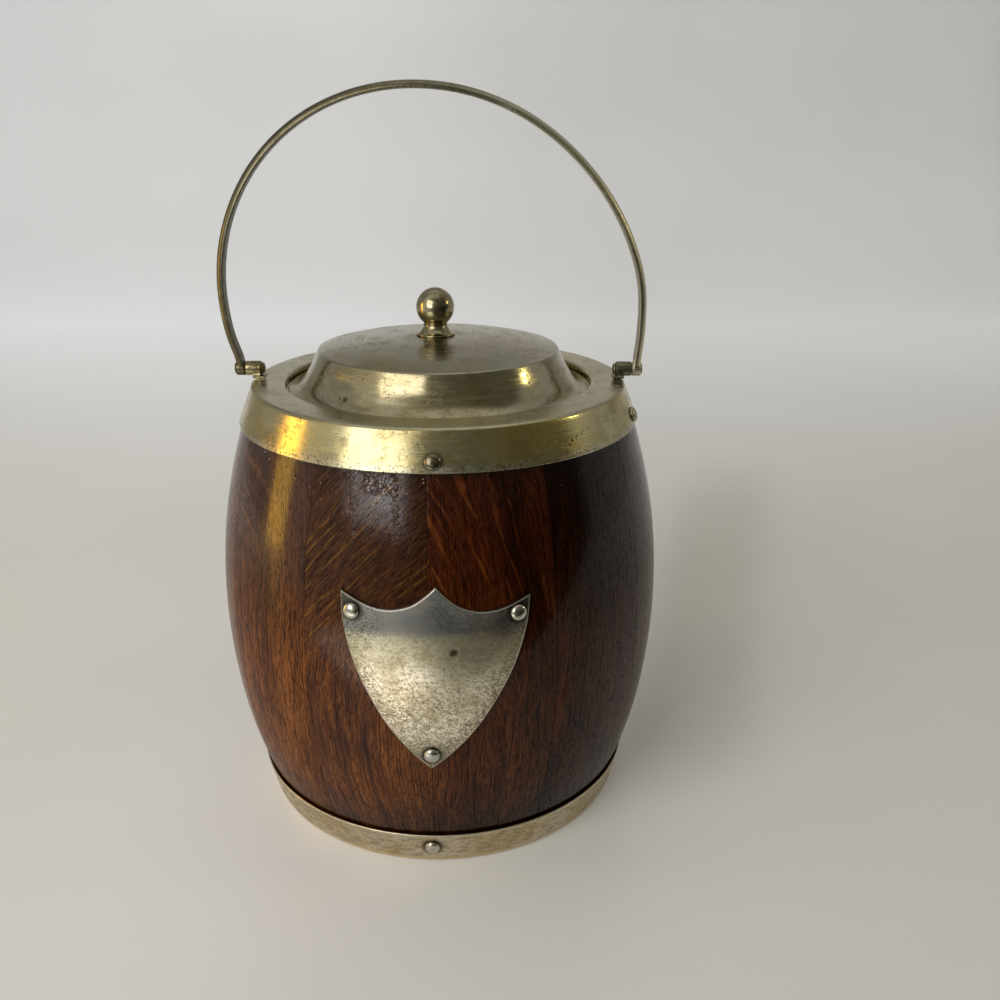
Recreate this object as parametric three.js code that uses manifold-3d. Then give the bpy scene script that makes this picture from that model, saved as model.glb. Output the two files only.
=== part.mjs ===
// Oak biscuit barrel with plated mounts, loose lid and swinging bail handle.
// Millimetres, +Z up. Origin: centre of the foot, on the surface it stands on.
// The front (with the shield) faces -Y, and the bail swings about the X axis.

import * as THREE from 'three';
import { mergeVertices } from 'three/addons/utils/BufferGeometryUtils.js';
import Module from 'manifold-3d';

const wasm = await Module();
wasm.setup();

// ---------------------------------------------------------------- dimensions

// Turned oak body: outside radius R at height z.
const BODY_PROFILE = [
  [12.8, 69.31], [30, 74.32], [50, 77.84], [70, 79.43],
  [90, 79.11], [110, 76.81], [130, 72.38], [142, 68.87],
];
const STAVES = 12;               // glued staves round the body
const SEAM_AZIMUTH = -0.6;       // degrees, the seam nearest the front
const GLUE_LINE = 0.12;          // gap between neighbouring staves
const BODY_BOTTOM = 1.2;
const BODY_TOP = 153.2;
const BORE_R = 59.5;             // turned bore for the liner
const REBATE_R = 62.2;           // bottom rebate for the base board
const REBATE_TOP = 11.0;

// Oak base board.
const BOARD_R = 61.9;
const BOARD_Z = [1.2, 10.7];

// Glazed ceramic liner.
const LINER_R = 59.0;
const LINER_WALL = 4.4;
const LINER_Z = [11.0, 150.2];
const LINER_FLOOR = 5.0;

// Sheet metal mounts.
const SHEET = 0.9;
const RIM_SKIRT_LOW = [70.0, 142.0];    // R, z of the skirt's lower edge
const RIM_SKIRT_HIGH = [65.35, 153.75]; // where the skirt turns into the shoulder
const RIM_TOP = 154.65;                 // flat top flange
const RIM_MOUTH_R = 53.57;              // edge of the lid recess
const RIM_LEDGE_Z = 151.5;              // top of the ledge that carries the lid
const RIM_THROAT_R = 49.6;
const BAND_LOW = [67.75, 1.8];
const BAND_HIGH = [70.4, 12.5];
const BAND_TOP = 12.8;
const BAND_FOOT_R = 58.0;               // inner edge of the turned-in foot

// Lid: outer surface from the flange edge to the top, R and z.
const LID_PROFILE = [
  [52.6, 152.55], [51.4, 152.7], [50.0, 153.15], [48.0, 154.7], [46.0, 157.4],
  [44.2, 160.4], [43.0, 162.95], [42.3, 164.3], [41.7, 165.05], [41.0, 165.55],
  [38.5, 166.3], [34, 167.25], [27, 168.2], [18, 169.1], [9, 169.55], [0, 169.65],
];
const LID_SHEET = 0.8;
const LID_RING_R = [48.1, 48.9];
const LID_RING_Z = [146.5, 152.4];

// Finial.
const FINIAL_X = -1.0;           // set a little off the lid's centre
const BALL_R = 6.62;
const BALL_Z = 179.3;
const STUD_R = 1.9;
const FINIAL_FOOT_Z = 169.8;
const NUT_R = 4.0;
const NUT_Z = [165.4, 168.5];

// Bail hinge, axis along X.
const HINGE_Z = 157.6;
const KNUCKLE_R = 2.55;
const KNUCKLE_X = [62.4, 67.9];
const FOOT_X = [61.5, 65.2];
const FOOT_HALF = 3.2;
const HINGE_PIN_R = 1.3;
const HINGE_BORE_R = 1.4;
const BOSS_R = 2.35;
const BOSS_X = [68.1, 71.3];

// Bail wire, half-round with its flat side inwards: width along Y, depth outwards.
const WIRE_WIDTH = 5.1;
const WIRE_DEPTH = 2.6;
const BAIL_PATH = [ // x, z of the wire's middle, right hinge to left hinge
  [69.8, 158.2], [70.2, 162.4], [70.75, 168.0], [71.0, 176.0], [70.6, 184.5], [67.47, 197.2],
  [61.26, 210.4], [53.13, 221.9], [43.52, 231.6], [32.61, 239.6], [20.53, 245.5], [7.53, 249.2],
  [-6.09, 250.5], [-19.93, 249.3], [-33.54, 245.3], [-46.29, 238.4], [-57.39, 228.7],
  [-66.07, 216.5], [-71.78, 202.5], [-74.15, 187.5], [-73.5, 174.5], [-71.9, 166.6],
  [-70.4, 161.9], [-69.6, 158.2],
];

// Shield: half outline about its own upright line (across, up from the tip).
const SHIELD_TOP = [[0, 63.7], [3.2, 60.6], [7.5, 57.6], [13.7, 55.9], [20.5, 56.6], [28.8, 60.1]];
const SHIELD_SIDE = [[28.8, 60.1], [27.95, 49.1], [23.8, 34.7], [15.5, 18.3], [7.0, 7.0], [0, 0]];
const SHIELD_TIP = [-0.72, 45.52];  // x, z
const SHIELD_TILT = 2.0;            // degrees, leaning to +X
const SHIELD_OFF = [0.35, 1.35];    // inside and outside, off the oak
const SHIELD_PINS = { left: [-24.1, 100.6], right: [26.5, 99.6], bottom: [-0.45, 51.4] };

// Domed pins.
const PIN_HEAD_R = 2.6;
const PIN_HEAD_H = 1.55;
const PIN_SHANK_R = 0.8;
const PIN_SHANK = 7.0;
const PIN_HOLE_R = 1.15;
const RIM_PIN_Z = 145.4;
const RIM_PINS = { front: 0.8, right: 76.5, back: 172, left: -102 };   // azimuths, degrees
const BASE_PIN_Z = 7.4;
const BASE_PINS = { front: -1.4, right: 88, back: 178, left: -92 };

const SEGMENTS = 48;
const PHASE = SEAM_AZIMUTH + 180 / SEGMENTS; // seams fall in the middle of a facet

// ---------------------------------------------------------------- helpers

const rad = THREE.MathUtils.degToRad;

// Natural cubic spline through [x, y] knots.
function spline(knots) {
  const n = knots.length;
  const x = knots.map((k) => k[0]);
  const y = knots.map((k) => k[1]);
  const a = new Array(n).fill(0);
  const b = new Array(n).fill(1);
  const c = new Array(n).fill(0);
  const d = new Array(n).fill(0);
  for (let i = 1; i < n - 1; i++) {
    const h0 = x[i] - x[i - 1];
    const h1 = x[i + 1] - x[i];
    a[i] = h0; b[i] = 2 * (h0 + h1); c[i] = h1;
    d[i] = 6 * ((y[i + 1] - y[i]) / h1 - (y[i] - y[i - 1]) / h0);
  }
  for (let i = 1; i < n; i++) {
    const m = a[i] / b[i - 1];
    b[i] -= m * c[i - 1];
    d[i] -= m * d[i - 1];
  }
  const s = new Array(n).fill(0);
  for (let i = n - 1; i >= 0; i--) s[i] = (d[i] - c[i] * (i + 1 < n ? s[i + 1] : 0)) / b[i];
  return (t) => {
    let i = 0;
    while (i < n - 2 && t > x[i + 1]) i++;
    const h = x[i + 1] - x[i];
    const u = x[i + 1] - t;
    const v = t - x[i];
    return (s[i] * u ** 3 + s[i + 1] * v ** 3) / (6 * h)
      + (y[i] / h - (s[i] * h) / 6) * u + (y[i + 1] / h - (s[i + 1] * h) / 6) * v;
  };
}

const bodyR = spline(BODY_PROFILE);

// A closed solid from a geometry: shared vertices merged, empty triangles dropped, faces out.
function solid(geometry) {
  let g = geometry.clone();
  g.deleteAttribute('normal');
  g.deleteAttribute('uv');
  g = mergeVertices(g, 1e-4);
  const p = g.attributes.position.array;
  const idx = g.index.array;
  const tri = [];
  let volume = 0;
  for (let i = 0; i < idx.length; i += 3) {
    const [a, b, c] = [idx[i], idx[i + 1], idx[i + 2]];
    if (a === b || b === c || c === a) continue;
    tri.push(a, b, c);
    const A = new THREE.Vector3().fromArray(p, 3 * a);
    const B = new THREE.Vector3().fromArray(p, 3 * b);
    const C = new THREE.Vector3().fromArray(p, 3 * c);
    volume += A.dot(B.cross(C)) / 6;
  }
  if (volume < 0) {
    for (let i = 0; i < tri.length; i += 3) [tri[i + 1], tri[i + 2]] = [tri[i + 2], tri[i + 1]];
  }
  return new wasm.Manifold(new wasm.Mesh({
    numProp: 3,
    vertProperties: Float32Array.from(p),
    triVerts: Uint32Array.from(tri),
  }));
}

function geometryOf(manifold) {
  const m = manifold.getMesh();
  const pos = new Float32Array(m.numVert * 3);
  for (let i = 0; i < m.numVert; i++) {
    for (let k = 0; k < 3; k++) pos[3 * i + k] = m.vertProperties[i * m.numProp + k];
  }
  const g = new THREE.BufferGeometry();
  g.setAttribute('position', new THREE.BufferAttribute(pos, 3));
  g.setIndex(new THREE.BufferAttribute(Uint32Array.from(m.triVerts), 1));
  g.computeVertexNormals();
  return g;
}

// A turned solid about Z from [R, z] points. Azimuth 0 is the front, +X is 90 degrees.
function turned(points, segments = SEGMENTS, phase = PHASE) {
  const pts = points.map(([r, z]) => new THREE.Vector2(r, z));
  const first = points[0];
  const last = points[points.length - 1];
  if (!(first[0] === 0 && last[0] === 0)) pts.push(new THREE.Vector2(first[0], first[1]));
  const g = new THREE.LatheGeometry(pts, segments, rad(phase), Math.PI * 2);
  g.rotateX(Math.PI / 2);
  return solid(g);
}

// Points of a profile moved by d along its normal, to the side that faces down or inwards.
function inset(points, d) {
  return points.map((p, i) => {
    const a = points[Math.max(0, i - 1)];
    const b = points[Math.min(points.length - 1, i + 1)];
    const tx = b[0] - a[0];
    const tz = b[1] - a[1];
    const l = Math.hypot(tx, tz);
    return [p[0] - (tz / l) * d, p[1] + (tx / l) * d];
  });
}

const azimuth = (deg) => new THREE.Vector3(Math.sin(rad(deg)), -Math.cos(rad(deg)), 0);

// Places a geometry built along +Y at a point, with +Y turned to a direction.
function aimed(geometry, point, direction) {
  const q = new THREE.Quaternion().setFromUnitVectors(new THREE.Vector3(0, 1, 0), direction);
  return geometry.clone().applyQuaternion(q).translate(point.x, point.y, point.z);
}

// A cylinder along X.
function rodX(radius, x0, x1, y, z, sides) {
  const g = new THREE.CylinderGeometry(radius, radius, Math.abs(x1 - x0), sides);
  g.rotateZ(Math.PI / 2);
  g.translate((x0 + x1) / 2, y, z);
  return solid(g);
}

// A shape drawn in (Y, Z), extruded along X from x0 to x1.
function extrudedX(points, x0, x1) {
  const shape = new THREE.Shape(points.map(([y, z]) => new THREE.Vector2(y, z)));
  const g = new THREE.ExtrudeGeometry(shape, { depth: x1 - x0, bevelEnabled: false });
  const m = new THREE.Matrix4().makeBasis(
    new THREE.Vector3(0, 1, 0), new THREE.Vector3(0, 0, 1), new THREE.Vector3(1, 0, 0));
  g.applyMatrix4(m);
  g.translate(x0, 0, 0);
  return solid(g);
}

// ---------------------------------------------------------------- materials

const metal = (color, roughness) => () => new THREE.MeshStandardMaterial({ color, roughness, metalness: 1 });
const oak = () => new THREE.MeshStandardMaterial({ color: 0x5b2a12, roughness: 0.28, metalness: 0 });
const boardOak = () => new THREE.MeshStandardMaterial({ color: 0x7a5230, roughness: 0.7, metalness: 0 });
const glaze = () => new THREE.MeshStandardMaterial({ color: 0xeee9dc, roughness: 0.15, metalness: 0 });
const wornPlate = metal(0xa89c6e, 0.3);
const palePlate = metal(0xb4ad98, 0.35);
const nickel = metal(0x9a947c, 0.28);
const brightPin = metal(0xaaa69a, 0.3);

const group = new THREE.Group();
function add(name, manifold, material) {
  const mesh = new THREE.Mesh(geometryOf(manifold), material());
  mesh.name = name;
  group.add(mesh);
}

// ---------------------------------------------------------------- pins

const pinProfile = [
  [0, -PIN_SHANK], [PIN_SHANK_R, -PIN_SHANK + 0.9], [PIN_SHANK_R, 0], [PIN_HEAD_R, 0],
  [PIN_HEAD_R * 0.93, 0.45 * PIN_HEAD_H], [PIN_HEAD_R * 0.6, 0.86 * PIN_HEAD_H], [0, PIN_HEAD_H],
];
const pinGeometry = new THREE.LatheGeometry(pinProfile.map(([r, y]) => new THREE.Vector2(r, y)), 10);
const holeGeometry = new THREE.CylinderGeometry(PIN_HOLE_R, PIN_HOLE_R, PIN_SHANK + 3.4, 8);
holeGeometry.translate(0, -PIN_SHANK / 2 + 0.6, 0);

function pinAt(deg, r, z, slope, name) {
  // slope is dR/dz of the surface; the pin stands along its normal
  const d = azimuth(deg);
  const n = new THREE.Vector3(d.x, d.y, -slope).normalize();
  const p = new THREE.Vector3(d.x * r, d.y * r, z).addScaledVector(n, 0.12);
  return { name, pin: solid(aimed(pinGeometry, p, n)), hole: solid(aimed(holeGeometry, p, n)) };
}

const skirtSlope = (RIM_SKIRT_HIGH[0] - RIM_SKIRT_LOW[0]) / (RIM_SKIRT_HIGH[1] - RIM_SKIRT_LOW[1]);
const skirtR = (z) => RIM_SKIRT_LOW[0] + (z - RIM_SKIRT_LOW[1]) * skirtSlope;
const bandSlope = (BAND_HIGH[0] - BAND_LOW[0]) / (BAND_HIGH[1] - BAND_LOW[1]);
const bandR = (z) => BAND_LOW[0] + (z - BAND_LOW[1]) * bandSlope;

const rimPins = Object.entries(RIM_PINS).map(([k, a]) =>
  pinAt(a, skirtR(RIM_PIN_Z), RIM_PIN_Z, skirtSlope, `rim_pin_${k}`));
const basePins = Object.entries(BASE_PINS).map(([k, a]) =>
  pinAt(a, bandR(BASE_PIN_Z), BASE_PIN_Z, bandSlope, `base_pin_${k}`));
const shieldPins = Object.entries(SHIELD_PINS).map(([k, [x, z]]) => {
  const r = bodyR(z) + SHIELD_OFF[1];
  const slope = (bodyR(z + 1) - bodyR(z - 1)) / 2;
  return pinAt(THREE.MathUtils.radToDeg(Math.asin(x / r)), r, z, slope, `shield_pin_${k}`);
});

// ---------------------------------------------------------------- oak body

const bodyHeights = [14, 24, 37, 52, 68, 84, 100, 115, 129, 141];
let body = turned([
  [REBATE_R, BODY_BOTTOM], [65.8, BODY_BOTTOM], [68.45, 12.2], [68.5, 13.0],
  ...bodyHeights.map((z) => [bodyR(z), z]),
  [skirtR(143) - SHEET - 0.45, 143], [skirtR(BODY_TOP) - SHEET - 0.45, BODY_TOP],
  [BORE_R, BODY_TOP], [BORE_R, REBATE_TOP], [REBATE_R, REBATE_TOP],
]);
for (const p of [...rimPins, ...basePins, ...shieldPins]) body = body.subtract(p.hole);

const staveAngle = 360 / STAVES;
for (let k = 0; k < STAVES; k++) {
  const mid = SEAM_AZIMUTH + staveAngle * (k + 0.5);
  const start = GLUE_LINE / 2 / Math.sin(rad(staveAngle / 2));
  const apex = azimuth(mid).multiplyScalar(start);
  const corner = (side) => apex.clone().addScaledVector(azimuth(mid + side * staveAngle / 2), 120);
  const [r, l] = [corner(1), corner(-1)];
  const wedge = new THREE.Shape([apex, r, l].map((v) => new THREE.Vector2(v.x, v.y)));
  const prism = new THREE.ExtrudeGeometry(wedge, { depth: 180, bevelEnabled: false });
  prism.translate(0, 0, -10);
  add(`oak_stave_${String(k + 1).padStart(2, '0')}`, body.intersect(solid(prism)), oak);
}

add('oak_base_board', turned([
  [0, BOARD_Z[0]], [BOARD_R - 0.6, BOARD_Z[0]], [BOARD_R, BOARD_Z[0] + 0.6], [BOARD_R, BOARD_Z[1]], [0, BOARD_Z[1]],
]), boardOak);

// ---------------------------------------------------------------- liner

const lin = LINER_R - LINER_WALL;
add('ceramic_liner', turned([
  [0, LINER_Z[0]], [LINER_R - 3.0, LINER_Z[0]], [LINER_R, LINER_Z[0] + 3.0],
  [LINER_R, LINER_Z[1] - 1.2], [LINER_R - 1.2, LINER_Z[1]], [lin + 1.2, LINER_Z[1]], [lin, LINER_Z[1] - 1.2],
  [lin, LINER_Z[0] + LINER_FLOOR + 5], [lin - 1.5, LINER_Z[0] + LINER_FLOOR + 1.5],
  [lin - 5, LINER_Z[0] + LINER_FLOOR], [0, LINER_Z[0] + LINER_FLOOR],
]), glaze);

// ---------------------------------------------------------------- rim collar

let rim = turned([
  RIM_SKIRT_LOW, RIM_SKIRT_HIGH, [64.95, 154.35], [64.2, RIM_TOP],
  [RIM_MOUTH_R + 0.6, RIM_TOP], [RIM_MOUTH_R, RIM_TOP - 0.6], [RIM_MOUTH_R, RIM_LEDGE_Z],
  [RIM_THROAT_R, RIM_LEDGE_Z], [RIM_THROAT_R, RIM_LEDGE_Z - SHEET],
  [RIM_MOUTH_R + SHEET, RIM_LEDGE_Z - SHEET], [RIM_MOUTH_R + SHEET, RIM_TOP - SHEET],
  [64.35, RIM_TOP - SHEET], [RIM_SKIRT_LOW[0] - SHEET, RIM_SKIRT_LOW[1]],
]);
for (const p of rimPins) rim = rim.subtract(p.hole);
add('rim_collar', rim, wornPlate);
for (const p of rimPins) add(p.name, p.pin, brightPin);

// ---------------------------------------------------------------- base band

let band = turned([
  [BAND_FOOT_R, 0], [66.2, 0], [67.25, 0.6], BAND_LOW, BAND_HIGH, [70.2, BAND_TOP],
  [69.75, BAND_TOP], [BAND_HIGH[0] - SHEET, BAND_HIGH[1] - 0.3], [BAND_LOW[0] - SHEET, BAND_LOW[1] + 0.1],
  [66.0, SHEET], [BAND_FOOT_R, SHEET],
]);
for (const p of basePins) band = band.subtract(p.hole);
add('base_band', band, palePlate);
for (const p of basePins) add(p.name, p.pin, brightPin);

// ---------------------------------------------------------------- shield

const shellHeights = [42, 52, 62, 72, 82, 92, 102, 112];
const shell = turned([
  ...shellHeights.map((z) => [bodyR(z) + SHIELD_OFF[1], z]),
  ...shellHeights.slice().reverse().map((z) => [bodyR(z) + SHIELD_OFF[0], z]),
], 96, 0);
const topCurve = new THREE.SplineCurve(SHIELD_TOP.map(([x, y]) => new THREE.Vector2(x, y))).getPoints(9);
const sideCurve = new THREE.SplineCurve(SHIELD_SIDE.map(([x, y]) => new THREE.Vector2(x, y))).getPoints(9);
const half = [...topCurve, ...sideCurve.slice(1)];
const outline = [...half, ...half.slice(1, -1).reverse().map((p) => new THREE.Vector2(-p.x, p.y))];
const tilt = rad(SHIELD_TILT);
const placed = outline.map((p) => new THREE.Vector2(
  SHIELD_TIP[0] + p.x * Math.cos(tilt) + p.y * Math.sin(tilt),
  SHIELD_TIP[1] - p.x * Math.sin(tilt) + p.y * Math.cos(tilt)));
const block = new THREE.ExtrudeGeometry(new THREE.Shape(placed), { depth: 60, bevelEnabled: false });
block.rotateX(Math.PI / 2); // drawn in X and Z, extruded along -Y
block.translate(0, -40, 0);
let shield = shell.intersect(solid(block));
for (const p of shieldPins) shield = shield.subtract(p.hole);
add('shield_plate', shield, palePlate);
for (const p of shieldPins) add(p.name, p.pin, brightPin);

// ---------------------------------------------------------------- lid

const lidUnder = inset(LID_PROFILE, LID_SHEET).filter((p, i) => i % 2 === 1).reverse();
const studHole = new THREE.CylinderGeometry(STUD_R + 0.3, STUD_R + 0.3, 12, 16);
studHole.rotateX(Math.PI / 2);
studHole.translate(FINIAL_X, 0, LID_PROFILE[LID_PROFILE.length - 1][1]);
const lidTop = LID_PROFILE[LID_PROFILE.length - 1][1];
add('lid_shell', turned([
  [0, lidTop - LID_SHEET], ...lidUnder.slice(1), [LID_PROFILE[0][0], LID_PROFILE[0][1] - LID_SHEET],
  ...LID_PROFILE,
]).subtract(solid(studHole)), nickel);

add('lid_locating_ring', turned([
  [LID_RING_R[0], LID_RING_Z[0]], [LID_RING_R[1], LID_RING_Z[0]],
  [LID_RING_R[1], LID_RING_Z[1]], [LID_RING_R[0], LID_RING_Z[1]],
]), nickel);

const ball = [];
for (let a = -50; a < 90; a += 20) {
  ball.push([BALL_R * Math.cos(rad(a)), BALL_Z + BALL_R * Math.sin(rad(a))]);
}
add('finial_knob', turned([
  [0, NUT_Z[0] - 1.4], [STUD_R - 0.4, NUT_Z[0] - 1.4], [STUD_R, NUT_Z[0] - 1.0], [STUD_R, FINIAL_FOOT_Z],
  [6.6, FINIAL_FOOT_Z], [6.65, FINIAL_FOOT_Z + 0.35], [5.6, 171.0], [4.5, 172.0], [3.85, 173.2],
  ...ball, [0, BALL_Z + BALL_R],
], 24).translate(FINIAL_X, 0, 0), nickel);

const hexagon = new THREE.Shape();
for (let i = 0; i < 6; i++) {
  const [x, y] = [NUT_R * Math.cos(i * Math.PI / 3), NUT_R * Math.sin(i * Math.PI / 3)];
  if (i === 0) hexagon.moveTo(x, y); else hexagon.lineTo(x, y);
}
hexagon.closePath();
const nutHole = new THREE.Path();
nutHole.absarc(0, 0, STUD_R + 0.25, 0, Math.PI * 2, true);
hexagon.holes.push(nutHole);
const nut = new THREE.ExtrudeGeometry(hexagon, {
  depth: NUT_Z[1] - NUT_Z[0], bevelEnabled: false, curveSegments: 12,
});
nut.translate(FINIAL_X, 0, NUT_Z[0]);
add('finial_nut', solid(nut), nickel);

// ---------------------------------------------------------------- bail hinge

const footZ = RIM_TOP + 0.13;
const lugSection = [[-FOOT_HALF, footZ], [FOOT_HALF, footZ], [FOOT_HALF, footZ + 0.6]];
for (let a = -25; a <= 205; a += 23) {
  lugSection.push([KNUCKLE_R * Math.cos(rad(a)), HINGE_Z + KNUCKLE_R * Math.sin(rad(a))]);
}
lugSection.push([-FOOT_HALF, footZ + 0.6]);

for (const [side, s] of [['left', -1], ['right', 1]]) {
  const foot = s > 0 ? extrudedX(lugSection, FOOT_X[0], FOOT_X[1]) : extrudedX(lugSection, -FOOT_X[1], -FOOT_X[0]);
  const trimmed = foot.subtract(rodX(KNUCKLE_R + 0.6, s * (FOOT_X[0] - 1), s * KNUCKLE_X[0], 0, HINGE_Z, 20));
  const knuckle = rodX(KNUCKLE_R, s * KNUCKLE_X[0], s * KNUCKLE_X[1], 0, HINGE_Z, 20);
  const bore = rodX(HINGE_BORE_R, s * (FOOT_X[0] - 2), s * (KNUCKLE_X[1] + 2), 0, HINGE_Z, 20);
  add(`hinge_lug_${side}`, trimmed.add(knuckle).subtract(bore), nickel);

  const pinProfileX = [
    [0, 61.2], [1.3, 61.35], [2.0, 61.75], [2.0, 62.2], [HINGE_PIN_R, 62.2],
    [HINGE_PIN_R, BOSS_X[1] + 0.15], [1.9, BOSS_X[1] + 0.15], [1.6, BOSS_X[1] + 0.42], [0, BOSS_X[1] + 0.5],
  ];
  const pin = new THREE.LatheGeometry(pinProfileX.map(([r, x]) => new THREE.Vector2(r, x)), 20);
  const toX = new THREE.Vector3(s, 0, 0);
  add(`hinge_pin_${side}`, solid(aimed(pin, new THREE.Vector3(0, 0, HINGE_Z), toX)), brightPin);
}

// ---------------------------------------------------------------- bail

// Section: x across the wire, y outwards.
const w = WIRE_WIDTH / 2;
const d = WIRE_DEPTH;
const section = new THREE.Shape([
  [-w + 0.15, -d / 2], [w - 0.15, -d / 2], [w, -d / 2 + 0.35], [w * 0.8, -d / 2 + 0.68 * d],
  [w * 0.42, -d / 2 + 0.94 * d], [0, d / 2], [-w * 0.42, -d / 2 + 0.94 * d], [-w * 0.8, -d / 2 + 0.68 * d],
  [-w, -d / 2 + 0.35],
].map(([x, y]) => new THREE.Vector2(x, y)));
const bailCurve = new THREE.CatmullRomCurve3(
  BAIL_PATH.map(([x, z]) => new THREE.Vector3(x, 0, z)), false, 'centripetal');
let bail = solid(new THREE.ExtrudeGeometry(section, { steps: 44, bevelEnabled: false, extrudePath: bailCurve }));
for (const s of [-1, 1]) {
  bail = bail.add(rodX(BOSS_R, s * BOSS_X[0], s * BOSS_X[1], 0, HINGE_Z, 20));
}
for (const s of [-1, 1]) {
  bail = bail.subtract(rodX(HINGE_BORE_R, s * (BOSS_X[0] - 3), s * (BOSS_X[1] + 3), 0, HINGE_Z, 20));
}
add('bail_handle', bail, wornPlate);

export default group;
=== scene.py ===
import math

import bmesh
import bpy
import numpy as np
from mathutils import Matrix, Vector
from mathutils.geometry import delaunay_2d_cdt


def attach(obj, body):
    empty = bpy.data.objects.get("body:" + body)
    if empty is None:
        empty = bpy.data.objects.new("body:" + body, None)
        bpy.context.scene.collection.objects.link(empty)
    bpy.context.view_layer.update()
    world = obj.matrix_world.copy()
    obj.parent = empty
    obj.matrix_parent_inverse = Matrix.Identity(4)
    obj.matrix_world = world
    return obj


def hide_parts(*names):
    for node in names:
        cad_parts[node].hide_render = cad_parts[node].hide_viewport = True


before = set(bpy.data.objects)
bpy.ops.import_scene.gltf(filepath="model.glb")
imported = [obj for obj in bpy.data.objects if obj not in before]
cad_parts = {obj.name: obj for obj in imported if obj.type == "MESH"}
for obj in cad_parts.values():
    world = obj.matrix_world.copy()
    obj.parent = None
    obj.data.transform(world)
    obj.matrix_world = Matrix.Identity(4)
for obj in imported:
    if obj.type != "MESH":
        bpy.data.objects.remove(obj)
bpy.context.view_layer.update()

scene = bpy.context.scene

# ---------------------------------------------------------------- dimensions, millimetres
# The same numbers as the construction: +Z up, the shield faces -Y, the bail turns about X.
# Azimuth 0 is the front and +90 degrees is +X.

BODY_PROFILE = [(12.8, 69.31), (30, 74.32), (50, 77.84), (70, 79.43), (90, 79.11), (110, 76.81), (130, 72.38), (142, 68.87)]
SEAM_AZIMUTH, STAVE_ANGLE, GLUE_LINE = -0.6, 30.0, 0.12
SKIRT_LOW, SKIRT_HIGH = (70.0, 142.0), (65.35, 153.75)
BAND_LOW, BAND_HIGH = (67.75, 1.8), (70.4, 12.5)
RIM_TOP, RIM_MOUTH_R, RIM_LEDGE_Z, RIM_THROAT_R = 154.65, 53.57, 151.5, 49.6
SHEET = 0.9
LID_PROFILE = [(52.6, 152.55), (51.4, 152.7), (50.0, 153.15), (48.0, 154.7), (46.0, 157.4), (44.2, 160.4), (43.0, 162.95),
               (42.3, 164.3), (41.7, 165.05), (41.0, 165.55), (38.5, 166.3), (34, 167.25), (27, 168.2), (18, 169.1), (9, 169.55), (0, 169.65)]
FINIAL_X, BALL_R, BALL_Z = -1.0, 6.62, 179.3
HINGE_Z = 157.6
BAIL_PATH = [(69.8, 158.2), (70.2, 162.4), (70.75, 168.0), (71.0, 176.0), (70.6, 184.5), (67.47, 197.2),
             (61.26, 210.4), (53.13, 221.9), (43.52, 231.6), (32.61, 239.6), (20.53, 245.5), (7.53, 249.2),
             (-6.09, 250.5), (-19.93, 249.3), (-33.54, 245.3), (-46.29, 238.4), (-57.39, 228.7),
             (-66.07, 216.5), (-71.78, 202.5), (-74.15, 187.5), (-73.5, 174.5), (-71.9, 166.6),
             (-70.4, 161.9), (-69.6, 158.2)]
SHIELD_TOP = [(0, 63.7), (3.2, 60.6), (7.5, 57.6), (13.7, 55.9), (20.5, 56.6), (28.8, 60.1)]
SHIELD_SIDE = [(28.8, 60.1), (27.95, 49.1), (23.8, 34.7), (15.5, 18.3), (7.0, 7.0), (0, 0)]
SHIELD_TIP, SHIELD_TILT = (-0.72, 45.52), math.radians(2.0)
SHIELD_PINS = {"left": (-24.1, 100.6), "right": (26.5, 99.6), "bottom": (-0.45, 51.4)}
RIM_PINS, RIM_PIN_Z = {"front": 0.8, "right": 76.5, "back": 172, "left": -102}, 145.4
BASE_PINS, BASE_PIN_Z = {"front": -1.4, "right": 88, "back": 178, "left": -92}, 7.4

SEG = 288  # segments round a turned piece


# ---------------------------------------------------------------- curves and profiles

def natural_spline(xs, ys):
    """Natural cubic spline through the knots, as a function of an array."""
    x, y = np.array(xs, float), np.array(ys, float)
    n = len(x)
    h = np.diff(x)
    a = np.eye(n)
    b = np.zeros(n)
    for i in range(1, n - 1):
        a[i, i - 1], a[i, i], a[i, i + 1] = h[i - 1], 2 * (h[i - 1] + h[i]), h[i]
        b[i] = 6 * ((y[i + 1] - y[i]) / h[i] - (y[i] - y[i - 1]) / h[i - 1])
    m = np.linalg.solve(a, b)

    def at(t):
        t = np.asarray(t, float)
        i = np.clip(np.searchsorted(x, t) - 1, 0, n - 2)
        u, v, w = x[i + 1] - t, t - x[i], h[i]
        return (m[i] * u ** 3 + m[i + 1] * v ** 3) / (6 * w) + (y[i] / w - m[i] * w / 6) * u + (y[i + 1] / w - m[i + 1] * w / 6) * v
    return at


def smooth_path(points, count):
    """count points evenly spread along a smooth curve through the given ones."""
    p = np.array(points, float)
    t = np.concatenate([[0], np.cumsum(np.linalg.norm(np.diff(p, axis=0), axis=1))])
    fine = np.linspace(0, t[-1], 4000)
    q = np.stack([natural_spline(t, p[:, k])(fine) for k in range(p.shape[1])], 1)
    d = np.concatenate([[0], np.cumsum(np.linalg.norm(np.diff(q, axis=0), axis=1))])
    s = np.linspace(0, d[-1], count)
    return np.stack([np.interp(s, d, q[:, k]) for k in range(p.shape[1])], 1)


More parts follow.
